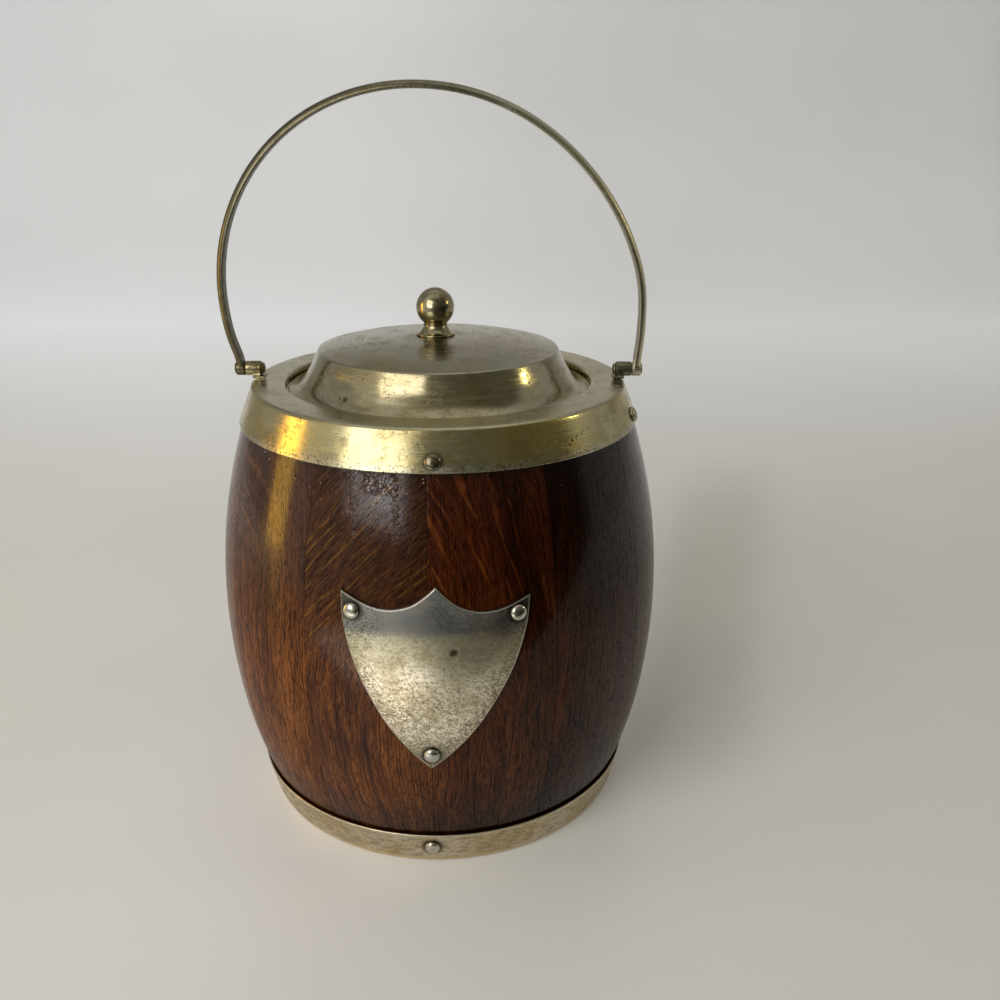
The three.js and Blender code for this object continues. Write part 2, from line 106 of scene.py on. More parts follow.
def rounded(corners, closed=True, step=9.0):
    """A profile of (r, z, fillet) corners with each corner rounded by its fillet."""
    n = len(corners)
    out = []
    for i, c in enumerate(corners):
        b = np.array(c[:2], float)
        f = c[2] if len(c) > 2 else 0.0
        if f <= 0 or (not closed and i in (0, n - 1)):
            out.append(tuple(b))
            continue
        p, q = np.array(corners[i - 1][:2], float), np.array(corners[(i + 1) % n][:2], float)
        u, v = p - b, q - b
        lu, lv = np.linalg.norm(u), np.linalg.norm(v)
        u, v = u / lu, v / lv
        ang = math.acos(max(-1, min(1, float(u @ v))))
        if ang > math.pi - 0.02:
            out.append(tuple(b))
            continue
        t = min(f / math.tan(ang / 2), 0.48 * lu, 0.48 * lv)
        r = t * math.tan(ang / 2)
        mid = (u + v) / np.linalg.norm(u + v)
        centre = b + mid * (r / math.sin(ang / 2))
        e0, e1 = b + u * t - centre, b + v * t - centre
        k = max(2, int(math.ceil(math.degrees(math.pi - ang) / step)))
        sweep = math.pi - ang
        for j in range(k + 1):
            w = j / k
            e = (math.sin((1 - w) * sweep) * e0 + math.sin(w * sweep) * e1) / math.sin(sweep)
            out.append(tuple(centre + e))
    return out


def refined(profile, longest, closed=True):
    """The profile with extra points on its long runs."""
    out = []
    n = len(profile)
    for i in range(n if closed else n - 1):
        a, b = np.array(profile[i]), np.array(profile[(i + 1) % n])
        k = max(1, int(math.ceil(np.linalg.norm(b - a) / longest)))
        out += [tuple(a + (b - a) * j / k) for j in range(k)]
    if not closed:
        out.append(tuple(profile[-1]))
    return out


body_r = natural_spline([z for z, _ in BODY_PROFILE], [r for _, r in BODY_PROFILE])
skirt_slope = (SKIRT_HIGH[0] - SKIRT_LOW[0]) / (SKIRT_HIGH[1] - SKIRT_LOW[1])
band_slope = (BAND_HIGH[0] - BAND_LOW[0]) / (BAND_HIGH[1] - BAND_LOW[1])


def skirt_r(z):
    return SKIRT_LOW[0] + (z - SKIRT_LOW[1]) * skirt_slope


def band_r(z):
    return BAND_LOW[0] + (z - BAND_LOW[1]) * band_slope


# ---------------------------------------------------------------- meshes

def turned(profile, segments=SEG, closed=True, dent=None):
    """Vertices and faces of a profile of (r, z) turned about Z. A point with r 0 is a pole."""
    a = 2 * np.pi * (np.arange(segments) + 0.5) / segments
    sx, sy = np.sin(a), -np.cos(a)
    verts, rings = [], []
    for r, z in profile:
        if r < 1e-6:
            rings.append([len(verts)] * segments)
            verts.append((0.0, 0.0, z))
        else:
            k = len(verts)
            verts += list(zip((r * sx).tolist(), (r * sy).tolist(), [z] * segments))
            rings.append(list(range(k, k + segments)))
    faces = []
    pairs = list(zip(rings[:-1], rings[1:])) + ([(rings[-1], rings[0])] if closed else [])
    for p, q in pairs:
        for i in range(segments):
            j = (i + 1) % segments
            f = [p[i], p[j], q[j], q[i]]
            f = [x for n, x in enumerate(f) if x not in f[:n]]
            if len(f) > 2:
                faces.append(f)
    v = np.array(verts, float)
    if dent is not None:
        v = v + dent(v)
    return v, faces


def dents(scale, seed, keep_z=False):
    """A gentle out-of-round field, a few hundredths of a millimetre, so that reflections aren't ruler straight."""
    rng = np.random.default_rng(seed)
    waves = [(k, rng.uniform(0, 6.28), rng.uniform(0.02, 0.12), rng.uniform(0.4, 1.0) / k ** 0.8) for k in (2, 3, 5, 8, 13, 21)]

    def at(v):
        az = np.arctan2(v[:, 0], -v[:, 1])
        r = np.hypot(v[:, 0], v[:, 1])
        s = v[:, 2] + r
        d = sum(w * np.cos(k * az + ph + f * s) for k, ph, f, w in waves) * scale
        d = d * np.clip(r / 12.0, 0, 1)
        n = np.stack([np.sin(az), -np.cos(az), np.zeros_like(az)], 1)
        out = n * d[:, None]
        if not keep_z:
            out[:, 2] += 0.6 * d
        return out
    return at


def make(name, verts, faces, material, body, nodes, sharp=38.0, attributes=None, fix=True):
    """One piece: a mesh in millimetres, placed in the shared frame, that stands for CAD nodes and rides on a body."""
    me = bpy.data.meshes.new(name)
    me.from_pydata((np.asarray(verts, float) * 0.001).tolist(), [], [list(map(int, f)) for f in faces])
    for key, (kind, values) in (attributes or {}).items():
        at = me.attributes.new(key, kind, "POINT")
        if kind == "FLOAT":
            at.data.foreach_set("value", np.asarray(values, np.float32).ravel())
        else:
            at.data.foreach_set("vector", np.asarray(values, np.float32).ravel())
    if fix:
        bm = bmesh.new()
        bm.from_mesh(me)
        bmesh.ops.recalc_face_normals(bm, faces=bm.faces)
        bm.to_mesh(me)
        bm.free()
    me.shade_smooth()
    me.set_sharp_from_angle(angle=math.radians(sharp))
    me.materials.append(material)
    ob = bpy.data.objects.new(name, me)
    scene.collection.objects.link(ob)
    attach(ob, body)
    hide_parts(*nodes)
    return ob


def shell_object(name, verts, faces):
    me = bpy.data.meshes.new(name)
    me.from_pydata((np.asarray(verts, float) * 0.001).tolist(), [], [list(map(int, f)) for f in faces])
    bm = bmesh.new()
    bm.from_mesh(me)
    bmesh.ops.recalc_face_normals(bm, faces=bm.faces)
    bm.to_mesh(me)
    bm.free()
    ob = bpy.data.objects.new(name, me)
    scene.collection.objects.link(ob)
    return ob


def joined_solid(name, first, others):
    """The solid made of a first closed shell with others added ('UNION') or cut away ('DIFFERENCE'), as verts and faces in millimetres."""
    base = shell_object(name + "_raw", *first)
    tools = []
    for i, (how, shell) in enumerate(others):
        tool = shell_object(f"{name}_tool{i}", *shell)
        tools.append(tool)
        mod = base.modifiers.new(f"m{i}", "BOOLEAN")
        mod.operation, mod.solver, mod.object = how, "EXACT", tool
    bpy.context.view_layer.update()
    made = base.evaluated_get(bpy.context.evaluated_depsgraph_get()).to_mesh()
    v = np.array([x.co for x in made.vertices], float) * 1000.0
    f = [list(p.vertices) for p in made.polygons]
    for ob in [base, *tools]:
        me = ob.data
        bpy.data.objects.remove(ob)
        bpy.data.meshes.remove(me)
    return v, f


def turned_x(profile, segments, side, dent=None):
    """A profile of (r, x) turned about the hinge axis; side is +1 for the right hinge and -1 for the left."""
    v, f = turned(profile, segments, closed=profile[0][0] > 1e-6)
    return np.stack([side * v[:, 2], v[:, 1], HINGE_Z + v[:, 0]], 1), f


# ---------------------------------------------------------------- material nodes

class Finish:
    """A node material round one Principled shader, with short names for the nodes that feed it."""

    def __init__(self, name, **sockets):
        self.material = bpy.data.materials.new(name)
        self.material.use_nodes = True
        self.tree = self.material.node_tree
        self.tree.nodes.clear()
        out = self.add("ShaderNodeOutputMaterial")
        self.bsdf = self.add("ShaderNodeBsdfPrincipled")
        self.tree.links.new(self.bsdf.outputs[0], out.inputs["Surface"])
        for key, value in sockets.items():
            self.bsdf.inputs[key.replace("_", " ")].default_value = value

    def add(self, kind, **props):
        node = self.tree.nodes.new(kind)
        for key, value in props.items():
            setattr(node, key, value)
        return node

    def put(self, socket, value):
        if isinstance(value, bpy.types.NodeSocket):
            self.tree.links.new(value, socket)
        elif value is not None:
            socket.default_value = value

    def to(self, name, value):
        self.put(self.bsdf.inputs[name], value)

    def math(self, op, a, b=None, c=None, clamp=False):
        n = self.add("ShaderNodeMath", operation=op, use_clamp=clamp)
        for s, v in zip(n.inputs, (a, b, c)):
            self.put(s, v)
        return n.outputs[0]

    def mul(self, a, b):
        return self.math("MULTIPLY", a, b)

    def plus(self, a, b):
        return self.math("ADD", a, b)

    def xyz(self, x, y, z):
        n = self.add("ShaderNodeCombineXYZ")
        for s, v in zip(n.inputs, (x, y, z)):
            self.put(s, v)
        return n.outputs[0]

    def split(self, v):
        n = self.add("ShaderNodeSeparateXYZ")
        self.put(n.inputs[0], v)
        return n.outputs[0], n.outputs[1], n.outputs[2]

    def place(self):
        """The point in millimetres, in the piece's own frame."""
        n = self.add("ShaderNodeTexCoord")
        s = self.add("ShaderNodeVectorMath", operation="SCALE")
        self.put(s.inputs[0], n.outputs["Object"])
        s.inputs["Scale"].default_value = 1000.0
        return s.outputs[0]

    def attribute(self, name, out="Vector"):
        return self.add("ShaderNodeAttribute", attribute_name=name).outputs[out]

    def noise(self, v, scale=1.0, detail=2.0, rough=0.5, twist=0.0):
        n = self.add("ShaderNodeTexNoise", noise_dimensions="3D")
        self.put(n.inputs["Vector"], v)
        for key, value in (("Scale", scale), ("Detail", detail), ("Roughness", rough), ("Distortion", twist)):
            n.inputs[key].default_value = value
        return n.outputs[0]

    def cells(self, v, scale, feature="F1", spread=1.0):
        n = self.add("ShaderNodeTexVoronoi", feature=feature)
        self.put(n.inputs["Vector"], v)
        n.inputs["Scale"].default_value = scale
        n.inputs["Randomness"].default_value = spread
        return n

    def step(self, x, low, high, a=0.0, b=1.0):
        """a below low, b above high, smooth between; low may be above high."""
        n = self.add("ShaderNodeMapRange", interpolation_type="SMOOTHSTEP", clamp=True)
        if low > high:
            low, high, a, b = high, low, b, a
        for s, v in zip(n.inputs, (x, low, high, a, b)):
            self.put(s, v)
        return n.outputs[0]

    def ramp(self, x, stops):
        n = self.add("ShaderNodeValToRGB")
        self.put(n.inputs[0], x)
        el = n.color_ramp.elements
        while len(el) < len(stops):
            el.new(0.5)
        for e, (p, c) in zip(el, stops):
            e.position = p
            e.color = (*c, 1.0)
        return n.outputs[0]

    def mix(self, t, a, b, how="MIX"):
        n = self.add("ShaderNodeMix", data_type="RGBA", blend_type=how)
        self.put(n.inputs[0], t)
        for s, v in ((n.inputs[6], a), (n.inputs[7], b)):
            self.put(s, (*v, 1.0) if isinstance(v, tuple) else v)
        return n.outputs[2]

    def scaled(self, colour, k):
        n = self.add("ShaderNodeVectorMath", operation="SCALE")
        self.put(n.inputs[0], colour)
        self.put(n.inputs["Scale"], k)
        return n.outputs[0]

    def far(self, v, point):
        n = self.add("ShaderNodeVectorMath", operation="DISTANCE")
        self.put(n.inputs[0], v)
        n.inputs[1].default_value = point
        return n.outputs["Value"]

    def shifted(self, v, offset):
        n = self.add("ShaderNodeVectorMath", operation="ADD")
        self.put(n.inputs[0], v)
        n.inputs[1].default_value = offset
        return n.outputs[0]

    def bump(self, height, depth_mm, strength=1.0, under=None):
        n = self.add("ShaderNodeBump")
        self.put(n.inputs["Height"], height)
        n.inputs["Distance"].default_value = depth_mm * 0.001
        n.inputs["Strength"].default_value = strength
        if under is not None:
            self.put(n.inputs["Normal"], under)
        return n.outputs[0]


# ---------------------------------------------------------------- finishes

def oak_finish(name, seed, craze=0.0, dust=0.0, gloss=1.40):
    """Dark varnished quarter-sawn oak. Three attributes steer it, in millimetres where they are places:
    grain is the place across and along the fibres and the tone, which holds painted shade as well as the stave's own
    colour, rays is the place across and along the rays and how much they show, and stain is how red it is, how quiet
    the fibres are and how near a joint is."""
    m = Finish(name, Roughness=0.50, Coat_Roughness=0.11, Coat_IOR=gloss)
    m.bsdf.inputs["Specular IOR Level"].default_value = 0.0
    across, along, tone = m.split(m.attribute("grain"))
    ray_x, ray_y, show = m.split(m.attribute("rays"))
    red, calm, seam = m.split(m.attribute("stain"))
    s = float(seed) * 7.31
    p = m.place()
    x, y, z = m.split(p)
    wander = m.noise(m.xyz(m.mul(across, 0.05), m.mul(along, 0.022), s), 1.0, 2.0)
    c = m.plus(across, m.mul(m.plus(wander, -0.5), 5.0))
    ribbon = m.noise(m.xyz(m.mul(c, 0.40), m.mul(along, 0.046), s + 3.1), 1.0, 3.0, 0.58)
    fibre = m.noise(m.xyz(m.mul(c, 2.0), m.mul(along, 0.085), s + 5.7), 1.0, 3.0, 0.62)
    pore = m.noise(m.xyz(m.mul(c, 3.2), m.mul(along, 0.34), s + 9.2), 1.0, 2.0, 0.55)
    broad = m.noise(m.xyz(m.mul(c, 0.085), m.mul(along, 0.013), s + 13.0), 1.0, 2.0)
    t = m.plus(m.plus(m.mul(ribbon, 0.36), m.mul(fibre, 0.30)), m.mul(broad, 0.34))
    t = m.plus(t, m.mul(m.mul(m.math("SUBTRACT", 0.475, t), calm), 0.65))
    colour = m.ramp(t, [(0.36, (0.0230, 0.0058, 0.0013)), (0.45, (0.0640, 0.0185, 0.0030)),
                        (0.53, (0.1230, 0.0400, 0.0059)), (0.64, (0.1880, 0.0670, 0.0100))])
    # long thin dark lines along the fibres, and short open pores between them
    slack = m.noise(m.xyz(m.mul(c, 0.16), m.mul(along, 0.021), s + 11.6), 1.0, 2.0)
    cut1 = m.noise(m.xyz(m.mul(c, 0.55), m.mul(along, 0.095), s + 14.9), 1.0, 2.0)
    line1 = m.math("PINGPONG", m.plus(m.mul(c, 0.43), m.mul(slack, 1.7)), 0.5)
    dark1 = m.mul(m.step(line1, 0.130, 0.035), m.step(cut1, 0.42, 0.55))
    cut2 = m.noise(m.xyz(m.mul(c, 0.95), m.mul(along, 0.150), s + 16.3), 1.0, 2.0)
    line2 = m.math("PINGPONG", m.plus(m.mul(c, 1.05), m.mul(slack, 3.5)), 0.5)
    dark2 = m.mul(m.step(line2, 0.19, 0.05), m.step(cut2, 0.45, 0.58, 0.0, 0.75))
    short = m.step(pore, 0.520, 0.610, 0.0, 0.95)
    cell = m.cells(m.xyz(m.plus(m.mul(c, 1.15), s), m.plus(m.mul(along, 0.30), s), 0.0), 1.0)
    cell.voronoi_dimensions = "2D"
    dash = m.mul(m.step(cell.outputs["Distance"], 0.24, 0.10), m.step(m.split(cell.outputs["Color"])[0], 0.35, 0.85))
    quiet = m.math("SUBTRACT", 1.0, m.mul(calm, 0.68))
    # long thin rays a few millimetres apart, broken along their length
    drift = m.noise(m.xyz(m.mul(ray_x, 0.11), m.mul(ray_y, 0.020), s + 17.0), 1.0, 2.0)
    line = m.math("PINGPONG", m.plus(m.mul(ray_x, 0.23), m.mul(drift, 2.5)), 0.5)
    wide = m.noise(m.xyz(m.mul(ray_x, 0.42), m.mul(ray_y, 0.045), s + 21.0), 1.0, 2.0)
    ray = m.step(m.math("SUBTRACT", m.step(wide, 0.36, 0.66, 0.005, 0.130), line), -0.055, 0.045)
    ray = m.mul(ray, m.step(wide, 0.40, 0.60, 0.04, 1.0))
    fine = m.math("PINGPONG", m.plus(m.mul(ray_x, 0.61), m.mul(drift, 3.1)), 0.5)
    ray2 = m.mul(m.step(fine, 0.13, 0.02), m.step(m.noise(m.xyz(m.mul(ray_x, 0.5), m.mul(ray_y, 0.07), s + 25.0), 1.0, 2.0), 0.46, 0.66, 0.0, 0.50))
    gold = m.mul(m.math("MAXIMUM", ray, ray2), show)
    colour = m.mix(m.math("MINIMUM", m.mul(gold, 0.78), 0.95), colour, (0.2450, 0.1080, 0.0150))
    fleck = m.noise(m.xyz(m.mul(ray_x, 1.30), m.mul(ray_y, 0.22), s + 27.0), 1.0, 3.0, 0.66)
    dusk = m.mul(m.step(fleck, 0.47, 0.60), m.math("MINIMUM", show, 1.0))
    deep = m.math("MAXIMUM", m.mul(m.math("MAXIMUM", dark1, dark2), quiet), m.mul(short, m.math("SUBTRACT", 1.0, m.mul(calm, 0.30))))
    deep = m.math("MAXIMUM", deep, m.mul(dusk, m.step(calm, 0.0, 0.9, 0.0, 0.80)))
    deep = m.math("MAXIMUM", deep, m.mul(dash, m.step(calm, 0.0, 0.5, 0.45, 0.62)))
    colour = m.mix(m.mul(deep, m.step(z, 70.0, 100.0, 0.76, 0.88)), colour, (0.0088, 0.0026, 0.0009))
    colour = m.mix(red, colour, (1.0, 0.56, 0.66), "MULTIPLY")
    # painted shade under the rim and above the base band, and dirt in the joints
    painted_shade_and_joint_dirt = m.math("MAXIMUM", m.step(z, 137.5, 142.5, 0.0, 0.60), m.step(z, 20.0, 14.0, 0.0, 0.45))
    colour = m.mix(m.math("MAXIMUM", painted_shade_and_joint_dirt, m.mul(seam, 0.45)), colour, (0.0140, 0.0046, 0.0016))
    colour = m.scaled(colour, tone)
    height = m.math("SUBTRACT", m.mul(fibre, 0.35), deep)
    wave = m.noise(p, 0.60, 3.0, 0.55)
    skin = m.plus(m.mul(wave, 0.42), m.mul(height, 0.12))
    if craze > 0:
        wrinkle = m.step(m.noise(m.xyz(m.mul(x, 0.85), m.mul(y, 0.50), m.mul(z, 0.95)), 1.0, 3.0, 0.6, 0.6), 0.45, 0.60)
        amount = m.step(z, 124.0, 137.0, 0.0, 0.10 * craze)
        if craze == 1.0:  # a puckered patch under the rim, with two runs below it
            patch = m.mul(m.step(x, -21.5, -19.0), m.step(x, -8.8, -10.8))
            runs = m.math("MAXIMUM", m.mul(m.step(x, -24.6, -23.6), m.step(x, -21.8, -22.8)), m.mul(m.step(x, -11.8, -10.8), m.step(x, -9.0, -10.0)))
            amount = m.math("MAXIMUM", amount, m.mul(patch, m.step(z, 134.6, 137.4, 0.0, 2.4)))
            amount = m.math("MAXIMUM", amount, m.mul(runs, m.step(z, 118.0, 126.0, 0.0, 1.0)))
        skin = m.plus(skin, m.mul(wrinkle, amount))
    if dust > 0:
        spot = m.cells(p, 0.60)
        pick = m.split(spot.outputs["Color"])[0]
        speck = m.mul(m.step(spot.outputs["Distance"], 0.165, 0.095), m.mul(m.step(pick, 0.55, 0.95), m.step(z, 128.0, 140.0, 0.0, dust)))
        colour = m.mix(speck, colour, (0.56, 0.53, 0.48))
    m.to("Base Color", colour)
    m.to("Normal", m.bump(height, 0.055))
    m.to("Coat Normal", m.bump(skin, 0.042))
    full = m.mul(m.step(deep, 0.2, 1.0, 1.0, 0.55), m.step(z, 92.0, 124.0, 0.70 if gloss < 1.45 else 0.46, 1.0))
    full = m.mul(full, m.math("SUBTRACT", 1.0, m.mul(seam, 0.92)))
    m.to("Coat Weight", m.mul(full, m.math("SUBTRACT", 1.0, m.mul(dash, 0.85))))
    return m.material


def board_finish():
    """Plain sawn oak, dull, darkened with age."""
    m = Finish("board_oak", Roughness=0.72)
    x, y, z = m.split(m.place())
    plank = m.math("FLOOR", m.plus(m.mul(y, 1 / 43.0), 0.5))
    row = m.mul(plank, 31.7)
    wander = m.noise(m.xyz(m.mul(x, 0.02), m.mul(y, 0.06), row), 1.0, 2.0)
    c = m.plus(y, m.mul(m.plus(wander, -0.5), 9.0))
    bands = m.noise(m.xyz(m.mul(x, 0.008), m.mul(c, 0.30), row), 1.0, 4.0, 0.6)
    pore = m.noise(m.xyz(m.mul(x, 0.16), m.mul(c, 2.4), row), 1.0, 2.0)
    colour = m.ramp(bands, [(0.30, (0.105, 0.058, 0.027)), (0.50, (0.190, 0.112, 0.054)), (0.72, (0.270, 0.170, 0.088))])
    deep = m.step(pore, 0.56, 0.68)
    colour = m.mix(m.mul(deep, 0.6), colour, (0.050, 0.028, 0.014))
    seam = m.math("ABSOLUTE", m.plus(m.math("FRACT", m.plus(m.mul(y, 1 / 43.0), 0.5)), -0.5))
    edge = m.step(seam, 0.488, 0.499)
    colour = m.mix(edge, colour, (0.018, 0.011, 0.007))
    stain = m.noise(m.place(), 0.045, 4.0, 0.6)
    colour = m.mix(m.step(stain, 0.50, 0.68, 0.0, 0.55), colour, (0.070, 0.042, 0.022))
    m.to("Base Color", colour)
    m.to("Normal", m.bump(m.math("SUBTRACT", m.mul(bands, 0.4), m.math("MAXIMUM", deep, edge)), 0.10))
    return m.material


def glaze_finish():
    """Cream glaze with fine crazing and a few brown specks."""
    m = Finish("liner_glaze", Coat_Weight=0.5, Coat_Roughness=0.06)
    p = m.place()
    tone = m.noise(p, 0.035, 3.0, 0.55)
    colour = m.ramp(tone, [(0.32, (0.690, 0.640, 0.525)), (0.52, (0.780, 0.740, 0.640)), (0.72, (0.830, 0.800, 0.715))])
    bent = m.noise(p, 0.20, 2.0)
    crack = m.cells(m.shifted(p, (3.0, 5.0, 7.0)), 0.105, "DISTANCE_TO_EDGE")
    lines = m.mul(m.step(crack.outputs["Distance"], 0.022, 0.004), m.step(bent, 0.40, 0.62, 0.10, 0.75))
    colour = m.mix(m.mul(lines, 0.60), colour, (0.360, 0.270, 0.165))
    spot = m.cells(p, 0.13)
    speck = m.mul(m.step(spot.outputs["Distance"], 0.045, 0.020), m.step(m.split(spot.outputs["Color"])[0], 0.72, 0.76))
    colour = m.mix(m.mul(speck, 0.8), colour, (0.210, 0.140, 0.080))
    m.to("Base Color", colour)
    m.to("Roughness", m.step(tone, 0.3, 0.7, 0.16, 0.26))
    m.to("Normal", m.bump(m.math("SUBTRACT", m.mul(tone, 1.5), m.mul(lines, 0.15)), 0.05))
    return m.material


def plate_finish(name, bright, warm, tarnish, rough, lines, seed=0, patch=0.5, speck=0.5, pits=0.5, warm_at=(0.42, 0.62),
                 pins=(), pin_ring=0.8, spots=(), extra=None):
    """Worn plate over nickel silver: bright and warm tones in soft patches, tarnish, dark specks, fine polishing lines.
    lines is 'z' for lines round an upright wall, 'r' for rings on a turned top, or None."""
    m = Finish(name, Metallic=1.0)
    p = m.place()
    q = m.shifted(p, (31.0 * seed, 17.0 * seed, 53.0 * seed))
    big = m.noise(q, 0.030, 3.0, 0.55)
    mid = m.noise(q, 0.150, 5.0, 0.62)
    fin = m.noise(q, 1.15, 4.0, 0.66)
    x, y, z = m.split(p)
    if lines == "z":
        streak = m.noise(m.xyz(m.mul(x, 0.055), m.mul(y, 0.055), m.mul(z, 3.2)), 1.0, 4.0, 0.65)
    elif lines == "r":
        r = m.math("SQRT", m.plus(m.mul(x, x), m.mul(y, y)))
        streak = m.noise(m.xyz(m.mul(x, 0.05), m.mul(y, 0.05), m.mul(m.plus(r, z), 2.6)), 1.0, 4.0, 0.65)
    else:
        streak = m.noise(m.shifted(q, (9.0, 2.0, 4.0)), 0.7, 4.0, 0.6)
    colour = m.mix(m.step(m.plus(m.mul(big, 0.7), m.mul(mid, 0.3)), *warm_at), bright, warm)
    dull = m.plus(m.plus(m.mul(mid, 0.55), m.mul(fin, 0.28)), m.mul(streak, 0.17))
    dull = m.step(dull, 0.47, 0.63, 0.0, patch)
    colour = m.mix(dull, colour, tarnish)
    dots = m.mul(m.step(fin, 0.55, 0.68), m.step(mid, 0.44, 0.60, 0.12, 1.0))
    colour = m.mix(m.mul(dots, speck), colour, tuple(0.30 * t for t in tarnish))
    worn = m.step(streak, 0.52, 0.72, 0.0, 0.35)
    colour = m.mix(worn, colour, tuple(min(1.0, 1.12 * b) for b in bright))
    height = m.math("SUBTRACT", m.mul(streak, 0.45), m.mul(dots, 0.55))
    roughness = m.plus(m.step(dull, 0.0, max(patch, 0.01), rough[0], rough[1]), m.mul(dots, 0.16))
    roughness = m.plus(roughness, m.step(streak, 0.35, 0.70, -0.03, 0.06))
    hole = m.cells(q, 0.12)
    pit = m.mul(m.step(hole.outputs["Distance"], 0.075, 0.045), m.step(m.split(hole.outputs["Color"])[1], 0.70, 0.74, 0.0, pits))
    colour = m.mix(pit, colour, (0.030, 0.025, 0.016))
    for point, radius, strength, tint in spots:
        near = m.plus(m.far(p, point), m.mul(m.plus(fin, -0.5), 1.6 * radius))
        colour = m.mix(m.step(near, radius * 1.25, radius * 0.55, 0.0, strength), colour, tint)
    for point in pins:
        near = m.plus(m.far(p, point), m.mul(m.plus(fin, -0.5), 0.9))
        ring = m.step(near, 4.3, 2.75, 0.0, pin_ring)
        colour = m.mix(ring, colour, tuple(0.22 * t for t in tarnish))
        roughness = m.plus(roughness, m.mul(ring, 0.15))
    if extra is not None:
        colour, roughness = extra(m, p, colour, roughness, mid, fin)
    m.to("Base Color", colour)
    m.to("Roughness", m.math("ADD", roughness, 0.0, clamp=True))
    m.to("Normal", m.bump(height, 0.018))
    return m.material


def collar_extra(m, p, colour, roughness, mid, fin):
    """The flat top is cleaner and more even than the skirt."""
    x, y, z = m.split(p)
    top = m.step(z, 153.9, 154.5)
    colour = m.mix(m.mul(top, 0.80), colour, (0.490, 0.455, 0.325))
    fine = m.noise(m.xyz(m.mul(x, 0.30), m.mul(y, 0.30), m.mul(z, 7.0)), 1.0, 3.0, 0.6)
    scuff = m.mul(m.step(fine, 0.57, 0.66), m.step(mid, 0.46, 0.60, 0.15, 1.0))
    colour = m.mix(m.mul(scuff, 0.40), colour, (0.660, 0.600, 0.400))
    cloud = m.noise(m.shifted(p, (14.0, 71.0, 33.0)), 0.11, 4.0, 0.64)
    colour = m.mix(m.mul(m.step(cloud, 0.50, 0.64, 0.0, 0.36), m.math("SUBTRACT", 1.0, top)), colour, (0.285, 0.220, 0.120))
    hem = m.mul(m.step(m.plus(z, m.mul(m.plus(fin, -0.5), 2.4)), 144.9, 142.9), m.step(mid, 0.40, 0.56, 0.25, 0.80))
    colour = m.mix(hem, colour, (0.500, 0.468, 0.372))
    colour = m.mix(m.mul(m.step(fin, 0.52, 0.62, 0.0, 0.75), m.step(z, 146.2, 143.4)), colour, (0.090, 0.078, 0.046))
    roughness = m.plus(roughness, m.plus(m.plus(m.mul(scuff, 0.10), m.mul(hem, 0.10)), m.mul(top, 0.07)))
    return colour, roughness


def band_finish(pins):
    """Thin plate worn to brass in streaks, dull and stained, with a painted highlight along the top edge."""
    m = Finish("pale_plate", Metallic=1.0)
    p = m.place()
    x, y, z = m.split(p)
    big = m.noise(m.shifted(p, (62.0, 34.0, 106.0)), 0.045, 3.0, 0.55)
    streak = m.noise(m.xyz(m.mul(x, 0.26), m.mul(y, 0.26), m.mul(z, 0.95)), 1.0, 4.0, 0.62)
    grit = m.noise(m.xyz(m.mul(x, 1.3), m.mul(y, 1.3), m.mul(z, 2.1)), 1.0, 3.0, 0.62)
    colour = m.mix(m.step(big, 0.42, 0.60), (0.585, 0.515, 0.380), (0.520, 0.415, 0.240))
    colour = m.mix(m.step(m.plus(m.mul(streak, 0.62), m.mul(grit, 0.38)), 0.455, 0.575, 0.0, 0.66), colour, (0.250, 0.196, 0.118))
    colour = m.mix(m.step(grit, 0.60, 0.70, 0.0, 0.42), colour, (0.105, 0.080, 0.046))
    colour = m.mix(m.step(z, 2.6, 1.0, 0.0, 0.75), colour, (0.660, 0.530, 0.290))
    # painted highlight: a paler line along the top edge
    colour = m.mix(m.step(z, 11.4, 12.4, 0.0, 0.55), colour, (0.700, 0.620, 0.455))
    roughness = m.step(m.plus(m.mul(streak, 0.5), m.mul(grit, 0.5)), 0.38, 0.62, 0.27, 0.47)
    for point in pins:
        near = m.plus(m.far(p, point), m.mul(m.plus(grit, -0.5), 1.2))
        colour = m.mix(m.step(near, 4.6, 2.7, 0.0, 0.88), colour, (0.060, 0.047, 0.028))
    m.to("Base Color", colour)
    m.to("Roughness", roughness)
    m.to("Normal", m.bump(m.plus(m.mul(streak, 0.6), m.mul(grit, 0.3)), 0.030))
    return m.material


